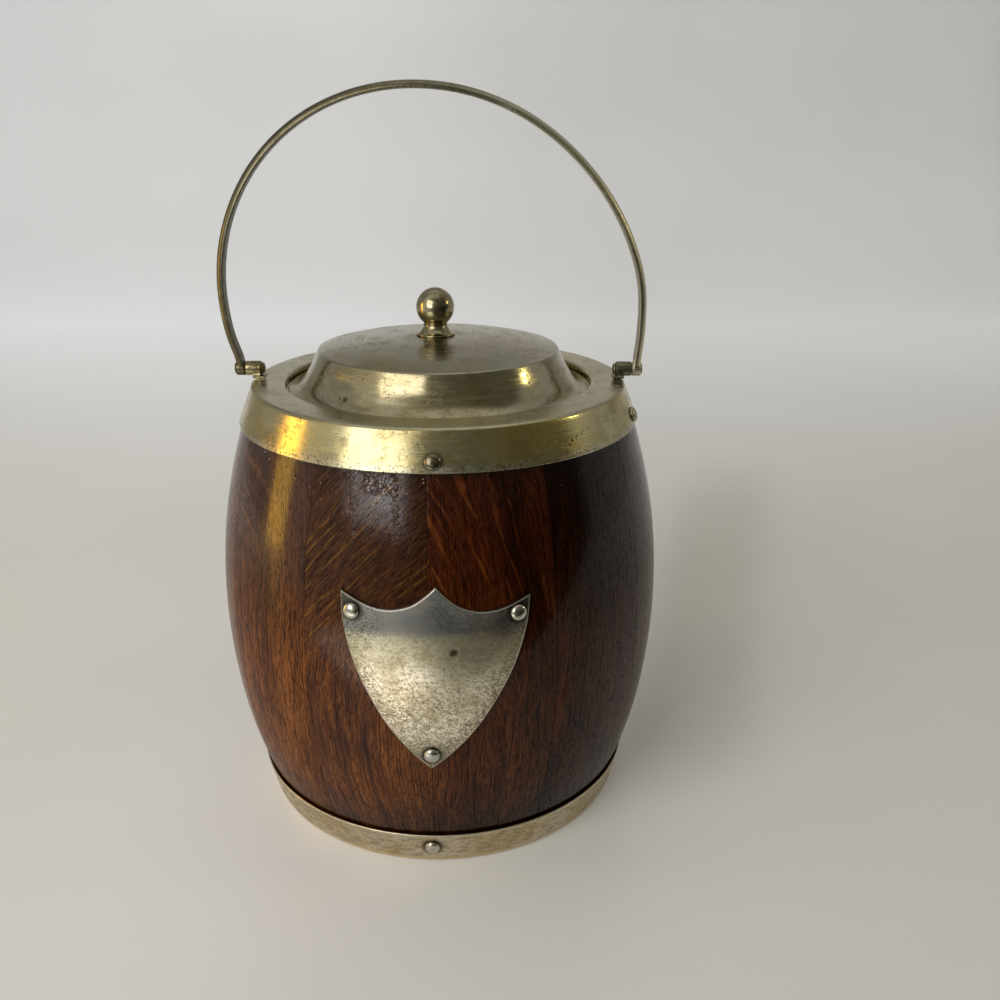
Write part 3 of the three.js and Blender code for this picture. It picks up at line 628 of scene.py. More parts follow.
def shield_finish(pins, spot):
    """Silver plate: tan bloom, a peppering of dark specks that thickens towards the edges and the point,
    a grey-blue band along the top that is painted reflection and partly tarnish, an olive band under it that is painted
    reflection, and a dull worn arris."""
    m = Finish("shield_plate", Metallic=1.0)
    p = m.place()
    x, y, z = m.split(p)
    edge = m.attribute("edge", "Fac")
    q = m.shifted(p, (93.0, 51.0, 159.0))
    big = m.noise(q, 0.045, 3.0, 0.55)
    mid = m.noise(q, 0.150, 4.0, 0.60)
    fin = m.noise(q, 0.80, 4.0, 0.66)
    grit = m.noise(m.xyz(m.mul(m.plus(x, m.mul(z, 0.35)), 1.7), m.mul(y, 1.7), m.mul(z, 2.3)), 1.0, 4.0, 0.75)
    colour = m.mix(m.step(m.plus(m.mul(big, 0.5), m.mul(mid, 0.5)), 0.40, 0.60), (1.000, 0.935, 0.760), (0.850, 0.762, 0.550))
    colour = m.mix(m.step(m.plus(m.mul(mid, 0.55), m.mul(fin, 0.45)), 0.47, 0.62, 0.0, 0.48), colour, (0.430, 0.365, 0.240))
    flake = m.noise(m.xyz(m.mul(m.plus(x, m.mul(z, 0.55)), 0.62), m.mul(y, 0.62), m.mul(z, 0.85)), 1.0, 4.0, 0.68)
    colour = m.mix(m.step(flake, 0.485, 0.590, 0.0, 0.66), colour, (0.405, 0.338, 0.215))
    near = m.step(m.plus(edge, m.mul(m.plus(mid, -0.5), 9.0)), 7.0, 0.5)
    low = m.mul(m.step(m.plus(z, m.mul(m.plus(mid, -0.5), 34.0)), 84.0, 60.0), m.step(big, 0.38, 0.60, 0.40, 0.95))
    dense = m.math("MAXIMUM", near, low)
    pepper = m.step(m.plus(m.plus(m.mul(grit, 0.80), m.mul(fin, 0.20)), m.mul(dense, 0.070)), 0.510, 0.605)
    colour = m.mix(m.mul(pepper, m.step(dense, 0.0, 0.7, 0.58, 0.88)), colour, (0.190, 0.150, 0.092))
    foot = m.step(m.plus(z, m.mul(m.plus(mid, -0.5), 8.0)), 60.0, 49.0, 0.0, 0.62)
    colour = m.mix(foot, colour, (0.150, 0.132, 0.092))
    high = m.plus(z, m.mul(m.plus(mid, -0.5), 3.0))
    # painted reflection, partly tarnish: the grey-blue band along the top stands for the dark space in front seen in
    # the plate
    tone = m.mix(m.step(m.plus(m.mul(big, 0.65), m.mul(mid, 0.35)), 0.42, 0.60), (0.190, 0.203, 0.208), (0.320, 0.275, 0.235))
    tone = m.mix(m.step(edge, 5.0, 1.5, 0.0, 0.40), tone, (0.330, 0.330, 0.310))
    colour = m.mix(m.step(high, 90.5, 95.8, 0.0, 0.92), colour, tone)
    # painted reflection: an olive band under the top band, for the darker table in front seen in the plate
    olive = m.mul(m.step(high, 76.0, 88.0), m.step(high, 97.0, 91.0))
    colour = m.mix(m.mul(olive, 0.55), colour, (0.370, 0.338, 0.205))
    side = m.math("ABSOLUTE", m.plus(x, -1.2))
    horn = m.mul(m.step(m.plus(z, m.mul(m.plus(mid, -0.5), 8.0)), 97.0, 103.5), m.step(side, 19.0, 26.0, 0.0, 0.85))
    colour = m.mix(horn, colour, (0.060, 0.055, 0.045))
    soot = m.mul(m.step(grit, 0.47, 0.56), m.mul(m.step(z, 86.0, 96.0), m.step(side, 12.0, 22.0, 0.0, 0.85)))
    colour = m.mix(soot, colour, (0.055, 0.050, 0.040))
    dot = m.plus(m.far(p, spot), m.mul(m.plus(fin, -0.5), 1.6))
    colour = m.mix(m.step(dot, 1.75, 0.75, 0.0, 0.88), colour, (0.060, 0.047, 0.025))
    roughness = m.plus(m.step(mid, 0.38, 0.62, 0.29, 0.36), m.mul(pepper, 0.14))
    for point in pins:
        gap = m.plus(m.far(p, point), m.mul(m.plus(fin, -0.5), 1.0))
        colour = m.mix(m.step(gap, 4.2, 2.75, 0.0, 0.86), colour, (0.045, 0.038, 0.028))
    colour = m.mix(m.mul(m.step(edge, 0.55, 0.18), m.step(z, 97.0, 84.0, 0.28, 0.75)), colour, (0.720, 0.680, 0.580))
    m.to("Base Color", colour)
    m.to("Roughness", roughness)
    m.to("Normal", m.bump(m.math("SUBTRACT", m.mul(mid, 0.55), m.mul(pepper, 0.35)), 0.024))
    return m.material


def lid_extra(m, p, colour, roughness, mid, fin):
    """Brown stain and grit on the flare, and a pale patch on the right of the top that is frosting and a painted
    reflection of the bright wall on the right.
    """
    x, y, z = m.split(p)
    side = m.step(z, 165.7, 164.2)
    stain = m.noise(m.xyz(m.mul(x, 0.20), m.mul(y, 0.20), m.mul(z, 0.70)), 1.0, 4.0, 0.66)
    colour = m.mix(m.mul(side, m.step(stain, 0.44, 0.64, 0.0, 0.34)), colour, (0.225, 0.180, 0.105))
    grit = m.mul(m.step(fin, 0.53, 0.62), m.mul(side, m.step(mid, 0.46, 0.62, 0.04, 0.42)))
    colour = m.mix(grit, colour, (0.100, 0.080, 0.046))
    colour = m.mix(m.mul(side, 0.85), colour, (1.06, 1.02, 0.88), "MULTIPLY")
    roughness = m.plus(roughness, m.mul(side, -0.075))
    # pale patch on the right of the top: frosting, and a painted reflection of the bright wall on the right
    bloom = m.plus(m.far(p, (38.0, -7.0, 166.3)), m.mul(m.plus(mid, -0.5), 34.0))
    bloom = m.mul(m.step(bloom, 13.0, 3.0), m.step(fin, 0.38, 0.58, 0.20, 0.90))
    colour = m.mix(m.mul(bloom, 0.75), colour, (0.560, 0.545, 0.490))
    roughness = m.plus(roughness, m.plus(m.mul(grit, 0.10), m.mul(bloom, 0.10)))
    return colour, roughness


def pin_extra(m, p, colour, roughness, mid, fin):
    """The front pin of the rim has lost its plate and is brown brass; the side pins of the rim are dull."""
    x, y, z = m.split(p)
    rim = m.step(z, 130.0, 138.0)
    bare = m.mul(rim, m.step(y, -45.0, -55.0, 0.0, 0.90))
    colour = m.mix(bare, colour, (0.165, 0.135, 0.080))
    side = m.mul(rim, m.step(m.math("ABSOLUTE", x), 45.0, 55.0))
    colour = m.mix(m.mul(side, 0.80), colour, (0.450, 0.412, 0.290))
    return colour, m.plus(roughness, m.mul(side, 0.20))


def hinge_painted_shade(m, p, colour, roughness, mid, fin):
    """The right hinge is painted darker than the left: painted shade on the side away from the light."""
    x, y, z = m.split(p)
    # painted shade on the right hinge
    dark = m.step(x, -10.0, 10.0, 0.0, 0.62)
    return m.mix(dark, colour, (0.098, 0.090, 0.062)), m.plus(roughness, m.mul(dark, 0.10))


def bail_extra(m, p, colour, roughness, mid, fin):
    """The flat inner side of the wire is unpolished; the wire is painted darker on the left, painted shade, and lighter
    on the right, painted light.
    """
    flat = m.step(m.attribute("depth", "Fac"), 0.24, 0.05)
    x, y, z = m.split(p)
    # painted shade on the left of the wire
    dull = m.step(m.plus(x, m.mul(m.plus(mid, -0.5), 20.0)), -8.0, -42.0, 0.0, 0.70)
    colour = m.mix(dull, colour, (0.088, 0.078, 0.047))
    # painted light on the right of the wire
    painted_light_right = m.step(m.plus(x, m.mul(m.plus(mid, -0.5), 14.0)), 4.0, 44.0, 0.0, 0.76)
    colour = m.mix(painted_light_right, colour, (0.720, 0.675, 0.500))
    roughness = m.plus(roughness, m.plus(m.mul(painted_light_right, 0.14), m.mul(dull, 0.10)))
    colour = m.mix(m.mul(flat, 0.62), colour, (0.135, 0.125, 0.090))
    # a pale line along both edges of the flat side: worn bright, and a painted highlight
    arris = m.mul(m.step(m.attribute("depth", "Fac"), 0.03, 0.12), m.step(m.attribute("depth", "Fac"), 0.46, 0.26))
    colour = m.mix(m.mul(arris, m.step(mid, 0.36, 0.56, 0.75, 0.30)), colour, (0.560, 0.505, 0.345))
    return colour, m.plus(roughness, m.mul(flat, 0.14))


def surface_point(azimuth, r, z):
    a = math.radians(azimuth)
    return (r * math.sin(a), -r * math.cos(a), z)


rim_pin_points = [surface_point(a, skirt_r(RIM_PIN_Z), RIM_PIN_Z) for a in RIM_PINS.values()]
base_pin_points = [surface_point(a, band_r(BASE_PIN_Z), BASE_PIN_Z) for a in BASE_PINS.values()]


def shield_point(x, z, off):
    r = float(body_r(z)) + off
    return (x, -math.sqrt(r * r - x * x), z)


shield_pin_points = [shield_point(x, z, 1.35) for x, z in SHIELD_PINS.values()]


collar_metal = plate_finish("worn_plate", (0.515, 0.462, 0.268), (0.545, 0.438, 0.170), (0.228, 0.192, 0.086), (0.17, 0.29), "z",
                            seed=1, patch=0.55, speck=0.55, pits=0.85, pins=rim_pin_points[:1], pin_ring=0.80,
                            spots=[*((q, 3.0, 0.30, (0.120, 0.105, 0.062)) for q in rim_pin_points[1:]),
                                   (surface_point(-22.5, skirt_r(149.6), 149.6), 1.7, 0.62, (0.16, 0.135, 0.06)),
                                   *((surface_point(w, skirt_r(h), h), r, k, (0.04, 0.034, 0.014)) for w, h, r, k in
                                     ((37.0, 144.6, 0.75, 0.45), (38.4, 146.0, 0.65, 0.80), (39.5, 147.2, 0.60, 0.75), (41.4, 147.9, 0.50, 0.55),
                                      (43.6, 148.3, 0.55, 0.40), (46.8, 149.2, 0.50, 0.35), (56.5, 149.4, 0.50, 0.70)))], extra=collar_extra)
band_metal = band_finish(base_pin_points)
shield_metal = shield_finish(shield_pin_points, shield_point(6.8, 88.4, 1.35))
lid_metal = plate_finish("lid_plate", (0.425, 0.400, 0.308), (0.405, 0.350, 0.220), (0.210, 0.182, 0.120), (0.22, 0.34), "r",
                         seed=4, patch=0.46, speck=0.20, pits=0.6,
                         spots=[(surface_point(-37.0, 47.0, 156.0), 1.0, 0.8, (0.06, 0.05, 0.03))], extra=lid_extra)
finial_metal = plate_finish("finial_metal", (0.425, 0.395, 0.285), (0.345, 0.298, 0.172), (0.135, 0.113, 0.056), (0.17, 0.28), None,
                            seed=5, patch=0.60, speck=0.40, pits=0.0)
hinge_metal = plate_finish("hinge_metal", (0.450, 0.405, 0.250), (0.340, 0.285, 0.140), (0.062, 0.053, 0.030), (0.15, 0.30), None,
                           seed=6, patch=0.62, speck=0.6, pits=0.0, extra=hinge_painted_shade)
bail_metal = plate_finish("bail_wire", (0.240, 0.222, 0.152), (0.215, 0.182, 0.092), (0.100, 0.086, 0.048), (0.20, 0.33), None,
                          seed=7, patch=0.62, speck=0.50, pits=0.2, extra=bail_extra)
pin_metal = plate_finish("pin_metal", (0.560, 0.540, 0.470), (0.500, 0.460, 0.340), (0.150, 0.132, 0.092), (0.18, 0.32), None,
                         seed=8, patch=0.60, speck=0.5, pits=0.0, extra=pin_extra)


# ---------------------------------------------------------------- oak staves

def gate(x, at, width):
    return 1.0 / (1.0 + np.exp(-(x - at) / width))


Z_FINE = np.linspace(-5, 165, 1701)


def drift_of(slope):
    """How far a grain line has moved across by each height, from its slope there; nothing at z 80."""
    g = np.concatenate([[0], np.cumsum((slope[1:] + slope[:-1]) / 2 * np.diff(Z_FINE))])
    return g - np.interp(80.0, Z_FINE, g)


# stave tone round the body with painted shade in it: darkest at the front right, away from the key light, and lightest
# at the front left
TONE_AND_SHADE_AT = [-180, -150, -120, -90, -60, -32, -8, 6, 22, 45, 70, 100, 130, 160, 180]
TONE_AND_SHADE = [0.86, 0.95, 0.80, 0.92, 1.16, 1.10, 1.02, 0.70, 0.46, 0.38, 0.52, 0.82, 0.90, 0.78, 0.86]


def stave_figure(k, u, z, azimuth):
    """Figure of stave k at u across it, height z: (lean of the fibres summed from z 80, place across the rays, place
    along them, ray strength, tone with painted shade in it, redness, quietness of the fibres)."""
    zf = Z_FINE
    rng = np.random.default_rng(900 + k)
    # painted light and shade in the tone: lighter on the lower belly, where the floor throws light up, and darker
    # towards the rim and towards the base
    tone = float(np.interp((azimuth + 180) % 360 - 180, TONE_AND_SHADE_AT, TONE_AND_SHADE)) * (1.05 + 0.27 * gate(-z, -74, 9) - 0.40 * gate(z, 98, 9) - 0.52 * gate(-z, -27, 4))
    red, calm = 0.10, 0.0
    if k == 12:    # left of the front seam: rays rise to the right above, upright fibres below
        slope = 0.42 * gate(zf, 88, 8) - 0.12 * gate(-zf, -38, 6)
        rx, ry = 0.92 * (z - (1.00 * u - 0.0060 * u * u)), 0.70 * (u + 0.9 * z)
        e = 1.05 * gate(z, 80, 7)
        calm = 0.85 * gate(z, 88, 6)
    elif k == 1:   # right of the front seam: steep rays that fall to the right
        slope = -0.10 * gate(zf, 85, 10)
        rx, ry = 0.92 * (u + (z - 110) * (0.32 - 0.010 * u)), z
        e = 1.35 * gate(z, 72, 9) * (0.45 + 0.55 * gate(-u, -4, 5))
        calm = 0.35 * gate(z, 88, 8)
        red = 0.35 + 0.60 * gate(z, 84, 12)
        tone *= 0.88 + 0.30 * gate(z, 92, 8)
    elif k == 11:
        slope = -0.30 * gate(zf, 115, 6) + 0.03
        rx, ry = 0.46 * (z + 0.024 * (u + 22) ** 2), 0.7 * (u - z)
        e = (0.95 - 0.75 * gate(u, -2, 3)) * gate(z, 100, 7)
        red = 0.10 + 0.30 * gate(z, 104, 8)
        calm = 0.60 * gate(z, 102, 7)
        tone *= 1.06 - 0.30 * gate(z, 104, 8)
    elif k == 2:
        slope = 0.04 + 0.0 * zf
        rx, ry, e = u + 0.1 * z, z, 0.15
        red = 0.75
        tone *= 1.0 - 0.42 * gate(z, 90, 12)
    else:
        at, way = rng.uniform(60, 105), rng.choice([-1.0, 1.0])
        up = 1.0 if rng.uniform() < 0.7 else -1.0
        slope = way * rng.uniform(0.05, 0.40) * gate(up * zf, up * at, 9)
        if rng.uniform() < 0.55:
            a, b = rng.uniform(0.8, 1.3), rng.uniform(-0.012, 0.012)
            rx, ry = 0.72 * (z - way * (a * u + b * u * u)), 0.7 * (way * u + z)
        else:
            a, b = rng.uniform(0.2, 0.45), rng.uniform(-0.008, 0.008)
            rx, ry = 0.92 * (u - way * (z - 90) * (a + b * u)), z
        e = rng.uniform(0.3, 0.95) * gate(up * z, up * at, 9)
        red = rng.uniform(0.05, 0.55)
        calm = 0.6 * e
    return drift_of(slope), rx, ry, e, tone, red, calm


def stave_profile():
    """Closed loop of (r, z) up the outside of the body and down its bore."""
    out = [(65.8, 1.2), (66.9, 5.8), (68.0, 10.3), (68.45, 12.3), (68.62, 12.95), (68.95, 13.08), (69.25, 13.28)]
    zs = np.linspace(13.62, 142.0, 104)
    out += [(float(body_r(z)), float(z)) for z in zs]
    out += [(skirt_r(143.4) - SHEET - 0.45, 143.4)]
    out += [(skirt_r(z) - SHEET - 0.45, z) for z in (146.0, 149.5, 153.2)]
    inner = [(59.5, 153.2), (59.5, 120.0), (59.5, 80.0), (59.5, 40.0), (59.5, 11.0), (62.2, 11.0), (62.2, 1.2)]
    return out, inner


def make_staves():
    out, inner = stave_profile()
    rows = [(True, q) for q in out] + [(False, q) for q in inner]
    half = math.radians(STAVE_ANGLE / 2)
    gap = 0.03  # the joints are closed with glue
    # columns: close together at the two arrises, which are eased a little
    near = [0.0, 0.03, 0.08, 0.20, 0.50]
    ease = [0.050, 0.020, 0.006, 0.0, 0.0]
    dark = [1.0, 0.9, 0.5, 0.0, 0.0]
    count = 30
    columns = [(-1.0, d, e, k) for d, e, k in zip(near, ease, dark)]
    columns += [(-1 + 2 * (c + 0.5) / count, None, 0.0, 0.0) for c in range(count)]
    columns += [(1.0, d, e, k) for d, e, k in reversed(list(zip(near, ease, dark)))]
    for k in range(1, 13):
        middle = math.radians(SEAM_AZIMUTH + STAVE_ANGLE * (k - 0.5))
        verts, grain, rays, stain, loops = [], [], [], [], []
        shift = None
        for t, d, drop, joint in columns:
            loop = []
            for on, (r, z) in rows:
                edge = half - gap / 2 / r
                a = t * (edge - d / r) if d is not None else t * (edge - 0.62 / r)
                rr = r - drop if on else r
                loop.append(len(verts))
                verts.append((rr * math.sin(middle + a), -rr * math.cos(middle + a), z))
                u = a * 76.0
                shift_now, rx, ry, e, tone, redness, calm = stave_figure(k, u, z, math.degrees(middle + a)) if shift is None else \
                    (shift, *stave_figure(k, u, z, math.degrees(middle + a))[1:])
                shift = shift_now
                grain.append((u - float(np.interp(z, Z_FINE, shift)), z * 1.04 + 0.2 * u, tone))
                rays.append((rx, ry, e))
                stain.append((redness, calm, joint))
            loops.append(loop)
        n = len(loops[0])
        faces = []
        for p, q in zip(loops[:-1], loops[1:]):
            for i in range(n):
                j = (i + 1) % n
                faces.append([p[i], q[i], q[j], p[j]])
        faces.append(list(reversed(loops[0])))
        faces.append(list(loops[-1]))
        name = f"oak_stave_{k:02d}"
        finish = oak_finish(f"oak_{k:02d}", k, craze=1.0 if k == 12 else 0.6, dust=1.0 if k in (11, 12) else 0.25,
                            gloss=1.50 if k == 11 else 1.40)
        make(name + "_fine", verts, faces, finish, "barrel", [name], sharp=50.0,
             attributes={"grain": ("FLOAT_VECTOR", grain), "rays": ("FLOAT_VECTOR", rays), "stain": ("FLOAT_VECTOR", stain)})


make_staves()

# ---------------------------------------------------------------- base board and liner

v, f = turned(refined(rounded([(0, 1.2), (61.9, 1.2, 0.9), (61.9, 10.7, 0.4), (0, 10.7)], closed=False), 4.0, closed=False), 128, closed=False)
make("oak_base_board_fine", v, f, board_finish(), "barrel", ["oak_base_board"])

liner = rounded([(0, 11.0), (59.0, 11.0, 3.0), (59.0, 150.2, 1.7), (54.6, 150.2, 1.7), (54.6, 16.0, 5.0), (0, 16.0)], closed=False, step=8.0)
v, f = turned(refined(liner, 4.0, closed=False), 192, closed=False, dent=dents(0.05, 41))
make("ceramic_liner_fine", v, f, glaze_finish(), "barrel", ["ceramic_liner"])

# ---------------------------------------------------------------- rim collar and base band

collar = rounded([(SKIRT_LOW[0], SKIRT_LOW[1], 0.42), (SKIRT_HIGH[0] - 0.36, 154.65, 1.70),
                  (RIM_MOUTH_R, RIM_TOP, 0.75), (RIM_MOUTH_R, RIM_LEDGE_Z, 0.45),
                  (RIM_THROAT_R, RIM_LEDGE_Z, 0.4), (RIM_THROAT_R, RIM_LEDGE_Z - SHEET, 0.4),
                  (RIM_MOUTH_R + SHEET, RIM_LEDGE_Z - SHEET, 0.8), (RIM_MOUTH_R + SHEET, RIM_TOP - SHEET, 0.3),
                  (64.35, RIM_TOP - SHEET, 0.4), (SKIRT_LOW[0] - SHEET, SKIRT_LOW[1], 0.42)])
v, f = turned(refined(collar, 1.1), SEG, dent=dents(0.055, 11))
make("rim_collar_fine", v, f, collar_metal, "barrel", ["rim_collar"])

band = rounded([(58.0, 0.0, 0.3), (66.9, 0.0, 0.8), (67.75, 1.8, 0.9), (70.4, 12.5, 0.8), (70.25, 12.82, 0.22), (69.75, 12.82, 0.22),
                (69.5, 12.2, 0.3), (66.85, 1.9, 0.8), (66.0, 0.9, 0.3), (58.0, 0.9, 0.3)])
v, f = turned(refined(band, 1.0), SEG, dent=dents(0.05, 12, keep_z=True))
v[:, 2] = np.maximum(v[:, 2], 0.0)
make("base_band_fine", v, f, band_metal, "barrel", ["base_band"])

# ---------------------------------------------------------------- pins

PIN = rounded([(0, -7.0), (0.8, -6.1, 0.1), (0.8, 0.0), (2.45, 0.0, 0.1), (2.6, 0.16, 0.12)], closed=False)
for i in range(1, 15):
    w = i / 14 * math.pi / 2
    PIN.append((2.6 * math.cos(w) ** 0.92 if i < 14 else 0.0, 0.20 + 1.35 * math.sin(w)))


def pin_at(name, azimuth, r, z, slope, lean=(0.0, 0.0)):
    a = math.radians(azimuth)
    n = Vector((math.sin(a), -math.cos(a), -slope)).normalized()
    n = (n + Vector((math.cos(a), math.sin(a), 0)) * lean[0] + Vector((0, 0, 1)) * lean[1]).normalized()
    turn = np.array(n.to_track_quat("Z", "Y").to_matrix())
    v, f = turned(PIN, 48, closed=False)
    at = np.array(surface_point(azimuth, r, z)) + np.array(n) * 0.10
    make(name + "_fine", v @ turn.T + at, f, pin_metal, "barrel", [name])


for key, a in RIM_PINS.items():
    pin_at(f"rim_pin_{key}", a, skirt_r(RIM_PIN_Z), RIM_PIN_Z, skirt_slope)
for key, a in BASE_PINS.items():
    pin_at(f"base_pin_{key}", a, band_r(BASE_PIN_Z), BASE_PIN_Z, band_slope)
for key, (x, z) in SHIELD_PINS.items():
    r = float(body_r(z)) + 1.35
    pin_at(f"shield_pin_{key}", math.degrees(math.asin(x / r)), r, z, float(body_r(z + 1) - body_r(z - 1)) / 2)

# ---------------------------------------------------------------- shield plate

def catmull(points, each):
    """Uniform Catmull-Rom through 2-D points, each points per span."""
    p = np.array(points, float)
    out = []
    for i in range(len(p) - 1):
        a, b, c, d = p[max(i - 1, 0)], p[i], p[i + 1], p[min(i + 2, len(p) - 1)]
        for t in np.arange(each) / each:
            out.append(0.5 * (2 * b + (c - a) * t + (2 * a - 5 * b + 4 * c - d) * t * t + (3 * b - a - 3 * c + d) * t ** 3))
    out.append(p[-1])
    return np.array(out)


def make_shield():
    half = np.concatenate([catmull(SHIELD_TOP, 18), catmull(SHIELD_SIDE, 24)[1:]])
    other = half[1:-1][::-1] * np.array([-1, 1])
    outline = np.concatenate([half, other])
    n = len(outline)
    nxt, prv = np.roll(outline, -1, 0), np.roll(outline, 1, 0)
    seg_a, seg_d = outline, nxt - outline
    length = (seg_d ** 2).sum(1)

    def away(pts):
        """Distance of each point to the outline."""
        d = np.full(len(pts), 1e9)
        for a, e, l in zip(seg_a, seg_d, length):
            t = np.clip(((pts - a) @ e) / l, 0, 1)
            d = np.minimum(d, np.linalg.norm(pts - a - t[:, None] * e, axis=1))
        return d

    def inside(pts):
        x, y = pts[:, 0], pts[:, 1]
        hit = np.zeros(len(pts), bool)
        for a, b in zip(outline, nxt):
            cross = (a[1] > y) != (b[1] > y)
            with np.errstate(divide="ignore", invalid="ignore"):
                hit ^= cross & (x < (b[0] - a[0]) * (y - a[1]) / (b[1] - a[1]) + a[0])
        return hit

    tangent = nxt - prv
    normal = np.stack([-tangent[:, 1], tangent[:, 0]], 1) / np.linalg.norm(tangent, axis=1)[:, None]
    if not inside(outline[40:41] + 0.2 * normal[40:41])[0]:
        normal = -normal
    pts = []
    for d in (0.07, 0.16, 0.28, 0.42, 0.60, 0.95):
        ring = outline + normal * d
        pts.append(ring[inside(ring) & (away(ring) > 0.93 * d)])
    g = np.stack(np.meshgrid(np.arange(-29, 29.1, 0.9), np.arange(0.4, 64, 0.9)), -1).reshape(-1, 2)
    g = g[inside(g)]
    pts.append(g[away(g) > 1.35])
    flat = np.concatenate([outline] + pts)
    made = delaunay_2d_cdt([Vector(p) for p in flat], [(i, (i + 1) % n) for i in range(n)], [], 1, 1e-6)
    p2 = np.array([tuple(p) for p in made[0]], float)
    tris = [list(t) for t in made[2]]
    d = away(p2)
    d[d < 1e-5] = 0.0
    w = np.clip(1 - d / 0.55, 0, 1)
    drop = 0.46 * (1 - np.sqrt(np.clip(1 - w * w, 0, 1)))
    ripple = 0.05 * np.sin(p2[:, 0] * 0.21 + 0.7) * np.sin(p2[:, 1] * 0.17 + 1.9) + 0.035 * np.sin(p2[:, 0] * 0.43 - p2[:, 1] * 0.31)
    ripple *= np.clip(d / 4.0, 0, 1)
    x = SHIELD_TIP[0] + p2[:, 0] * math.cos(SHIELD_TILT) + p2[:, 1] * math.sin(SHIELD_TILT)
    z = SHIELD_TIP[1] - p2[:, 0] * math.sin(SHIELD_TILT) + p2[:, 1] * math.cos(SHIELD_TILT)

    def lifted(off):
        r = body_r(z) + off
        return np.stack([x, -np.sqrt(r * r - x * x), z], 1)

    front, back = lifted(1.35 - drop + ripple), lifted(0.35 + 0 * drop)
    m = len(p2)
    faces = tris + [[a + m, c + m, b + m] for a, b, c in tris]
    # the wall joins the two along the outline's own edges
    count = {}
    for t in tris:
        for a, b in ((t[0], t[1]), (t[1], t[2]), (t[2], t[0])):
            count.setdefault((min(a, b), max(a, b)), []).append((a, b))
    for uses in count.values():
        if len(uses) == 1:
            a, b = uses[0]
            faces.append([b, a, a + m, b + m])
    make("shield_plate_fine", np.concatenate([front, back]), faces, shield_metal, "barrel", ["shield_plate"], sharp=48.0,
         attributes={"edge": ("FLOAT", np.concatenate([np.minimum(d, 8.0), np.minimum(d, 8.0) + 2.0]))})


make_shield()

# ---------------------------------------------------------------- lid, its ring, finial and nut

corner = (41.72, 165.50)
flare = [tuple(q) for q in smooth_path([*LID_PROFILE[:7], (42.3, 164.35), corner], 90) if math.dist(q, corner) > 0.8]
crown = [tuple(q) for q in smooth_path([corner, *LID_PROFILE[10:-1]], 60) if math.dist(q, corner) > 0.8]
lid_fine = np.array(rounded([*flare, (*corner, 1.0), *crown], closed=False, step=6.0))
lid_fine = np.concatenate([lid_fine, smooth_path([(9, 169.55), (4.5, 169.63), (0.001, 169.65)], 10)[1:]])
tan = np.gradient(lid_fine, axis=0)
tan /= np.linalg.norm(tan, axis=1)[:, None]
under = lid_fine + 0.8 * np.stack([-tan[:, 1], tan[:, 0]], 1)
under = [(max(r, 0.0), z) for r, z in under if r > 0.6]
top = [(float(r), float(z)) for r, z in lid_fine[1:-1]]
edge = [(52.15, 151.78), (52.45, 151.85), (52.58, 152.05), (52.6, 152.3), (52.5, 152.5)]
lid = [(0.0, 169.65)] + top[::-1] + edge[::-1] + [(float(r), float(z)) for r, z in under if r < 51.6] + [(0.0, 168.85)]
v, f = turned(lid, SEG, closed=False, dent=dents(0.035, 21))
make("lid_shell_fine", v, f, lid_metal, "lid", ["lid_shell"])

ring = rounded([(48.1, 146.35, 0.35), (49.0, 146.35, 0.35), (49.0, 147.0, 0.2), (48.85, 147.3, 0.2), (48.85, 152.4, 0.1), (48.15, 152.4, 0.1),
                (48.15, 147.3, 0.2)])
v, f = turned(refined(ring, 1.2), 192, dent=dents(0.03, 22, keep_z=True))
make("lid_locating_ring_fine", v, f, lid_metal, "lid", ["lid_locating_ring"])

knob = [(0, 164.0), (1.5, 164.0), (1.9, 164.4)]
z = 164.4
while z < 168.4:  # a thread on the stud
    knob += [(1.9, z), (1.65, z + 0.2), (1.9, z + 0.4)]
    z += 0.4
knob += [(1.9, 169.72), (6.35, 169.72)]
knob += rounded([(6.35, 169.72), (6.68, 169.72, 0.14), (6.68, 170.22, 0.2), (6.2, 170.38)], closed=False)[1:]
knob += [tuple(p) for p in smooth_path([(6.2, 170.38), (5.55, 170.85), (4.85, 171.6), (4.35, 172.35), (4.05, 173.05)], 14)[1:]]
knob += [(4.05, 173.12), (4.22, 173.2), (4.27, 173.32), (4.22, 173.44), (4.06, 173.5), (3.98, 173.56), (4.08, 173.62), (4.16, 173.72), (4.1, 173.82), (3.98, 173.9)]
for w in np.linspace(-51, 90, 44):
    knob.append((BALL_R * math.cos(math.radians(w)) if w < 89.9 else 0.0, BALL_Z + BALL_R * math.sin(math.radians(w))))
v, f = turned(knob, 96, closed=False)
v[:, 0] += FINIAL_X
make("finial_knob_fine", v, f, finial_metal, "lid", ["finial_knob"], sharp=60.0)


def make_nut():
    """A hexagon with both ends turned off at 30 degrees, and a chamfered hole."""
    segs, v, faces = 96, [], []
    a = 2 * np.pi * np.arange(segs) / segs
    hexr = 4.0 * math.cos(math.pi / 6) / np.cos((a + math.pi / 6) % (math.pi / 3) - math.pi / 6)
    rows = []
    for z, cap in ((165.4, 3.42), (165.75, 4.02), (168.15, 4.02), (168.5, 3.42)):
        rows.append(np.minimum(hexr, cap))
        v += [(FINIAL_X + r * math.cos(t), r * math.sin(t), z) for r, t in zip(rows[-1], a)]
    for r, z in ((2.4, 168.5), (2.12, 168.2), (2.12, 165.7), (2.4, 165.4)):
        v += [(FINIAL_X + r * math.cos(t), r * math.sin(t), z) for t in a]
    for k in range(8):
        for i in range(segs):
            j = (i + 1) % segs
            faces.append([k * segs + i, k * segs + j, (k + 1) % 8 * segs + j, (k + 1) % 8 * segs + i])
    make("finial_nut_fine", v, faces, finial_metal, "lid", ["finial_nut"], sharp=22.0)


make_nut()

# ---------------------------------------------------------------- hinges

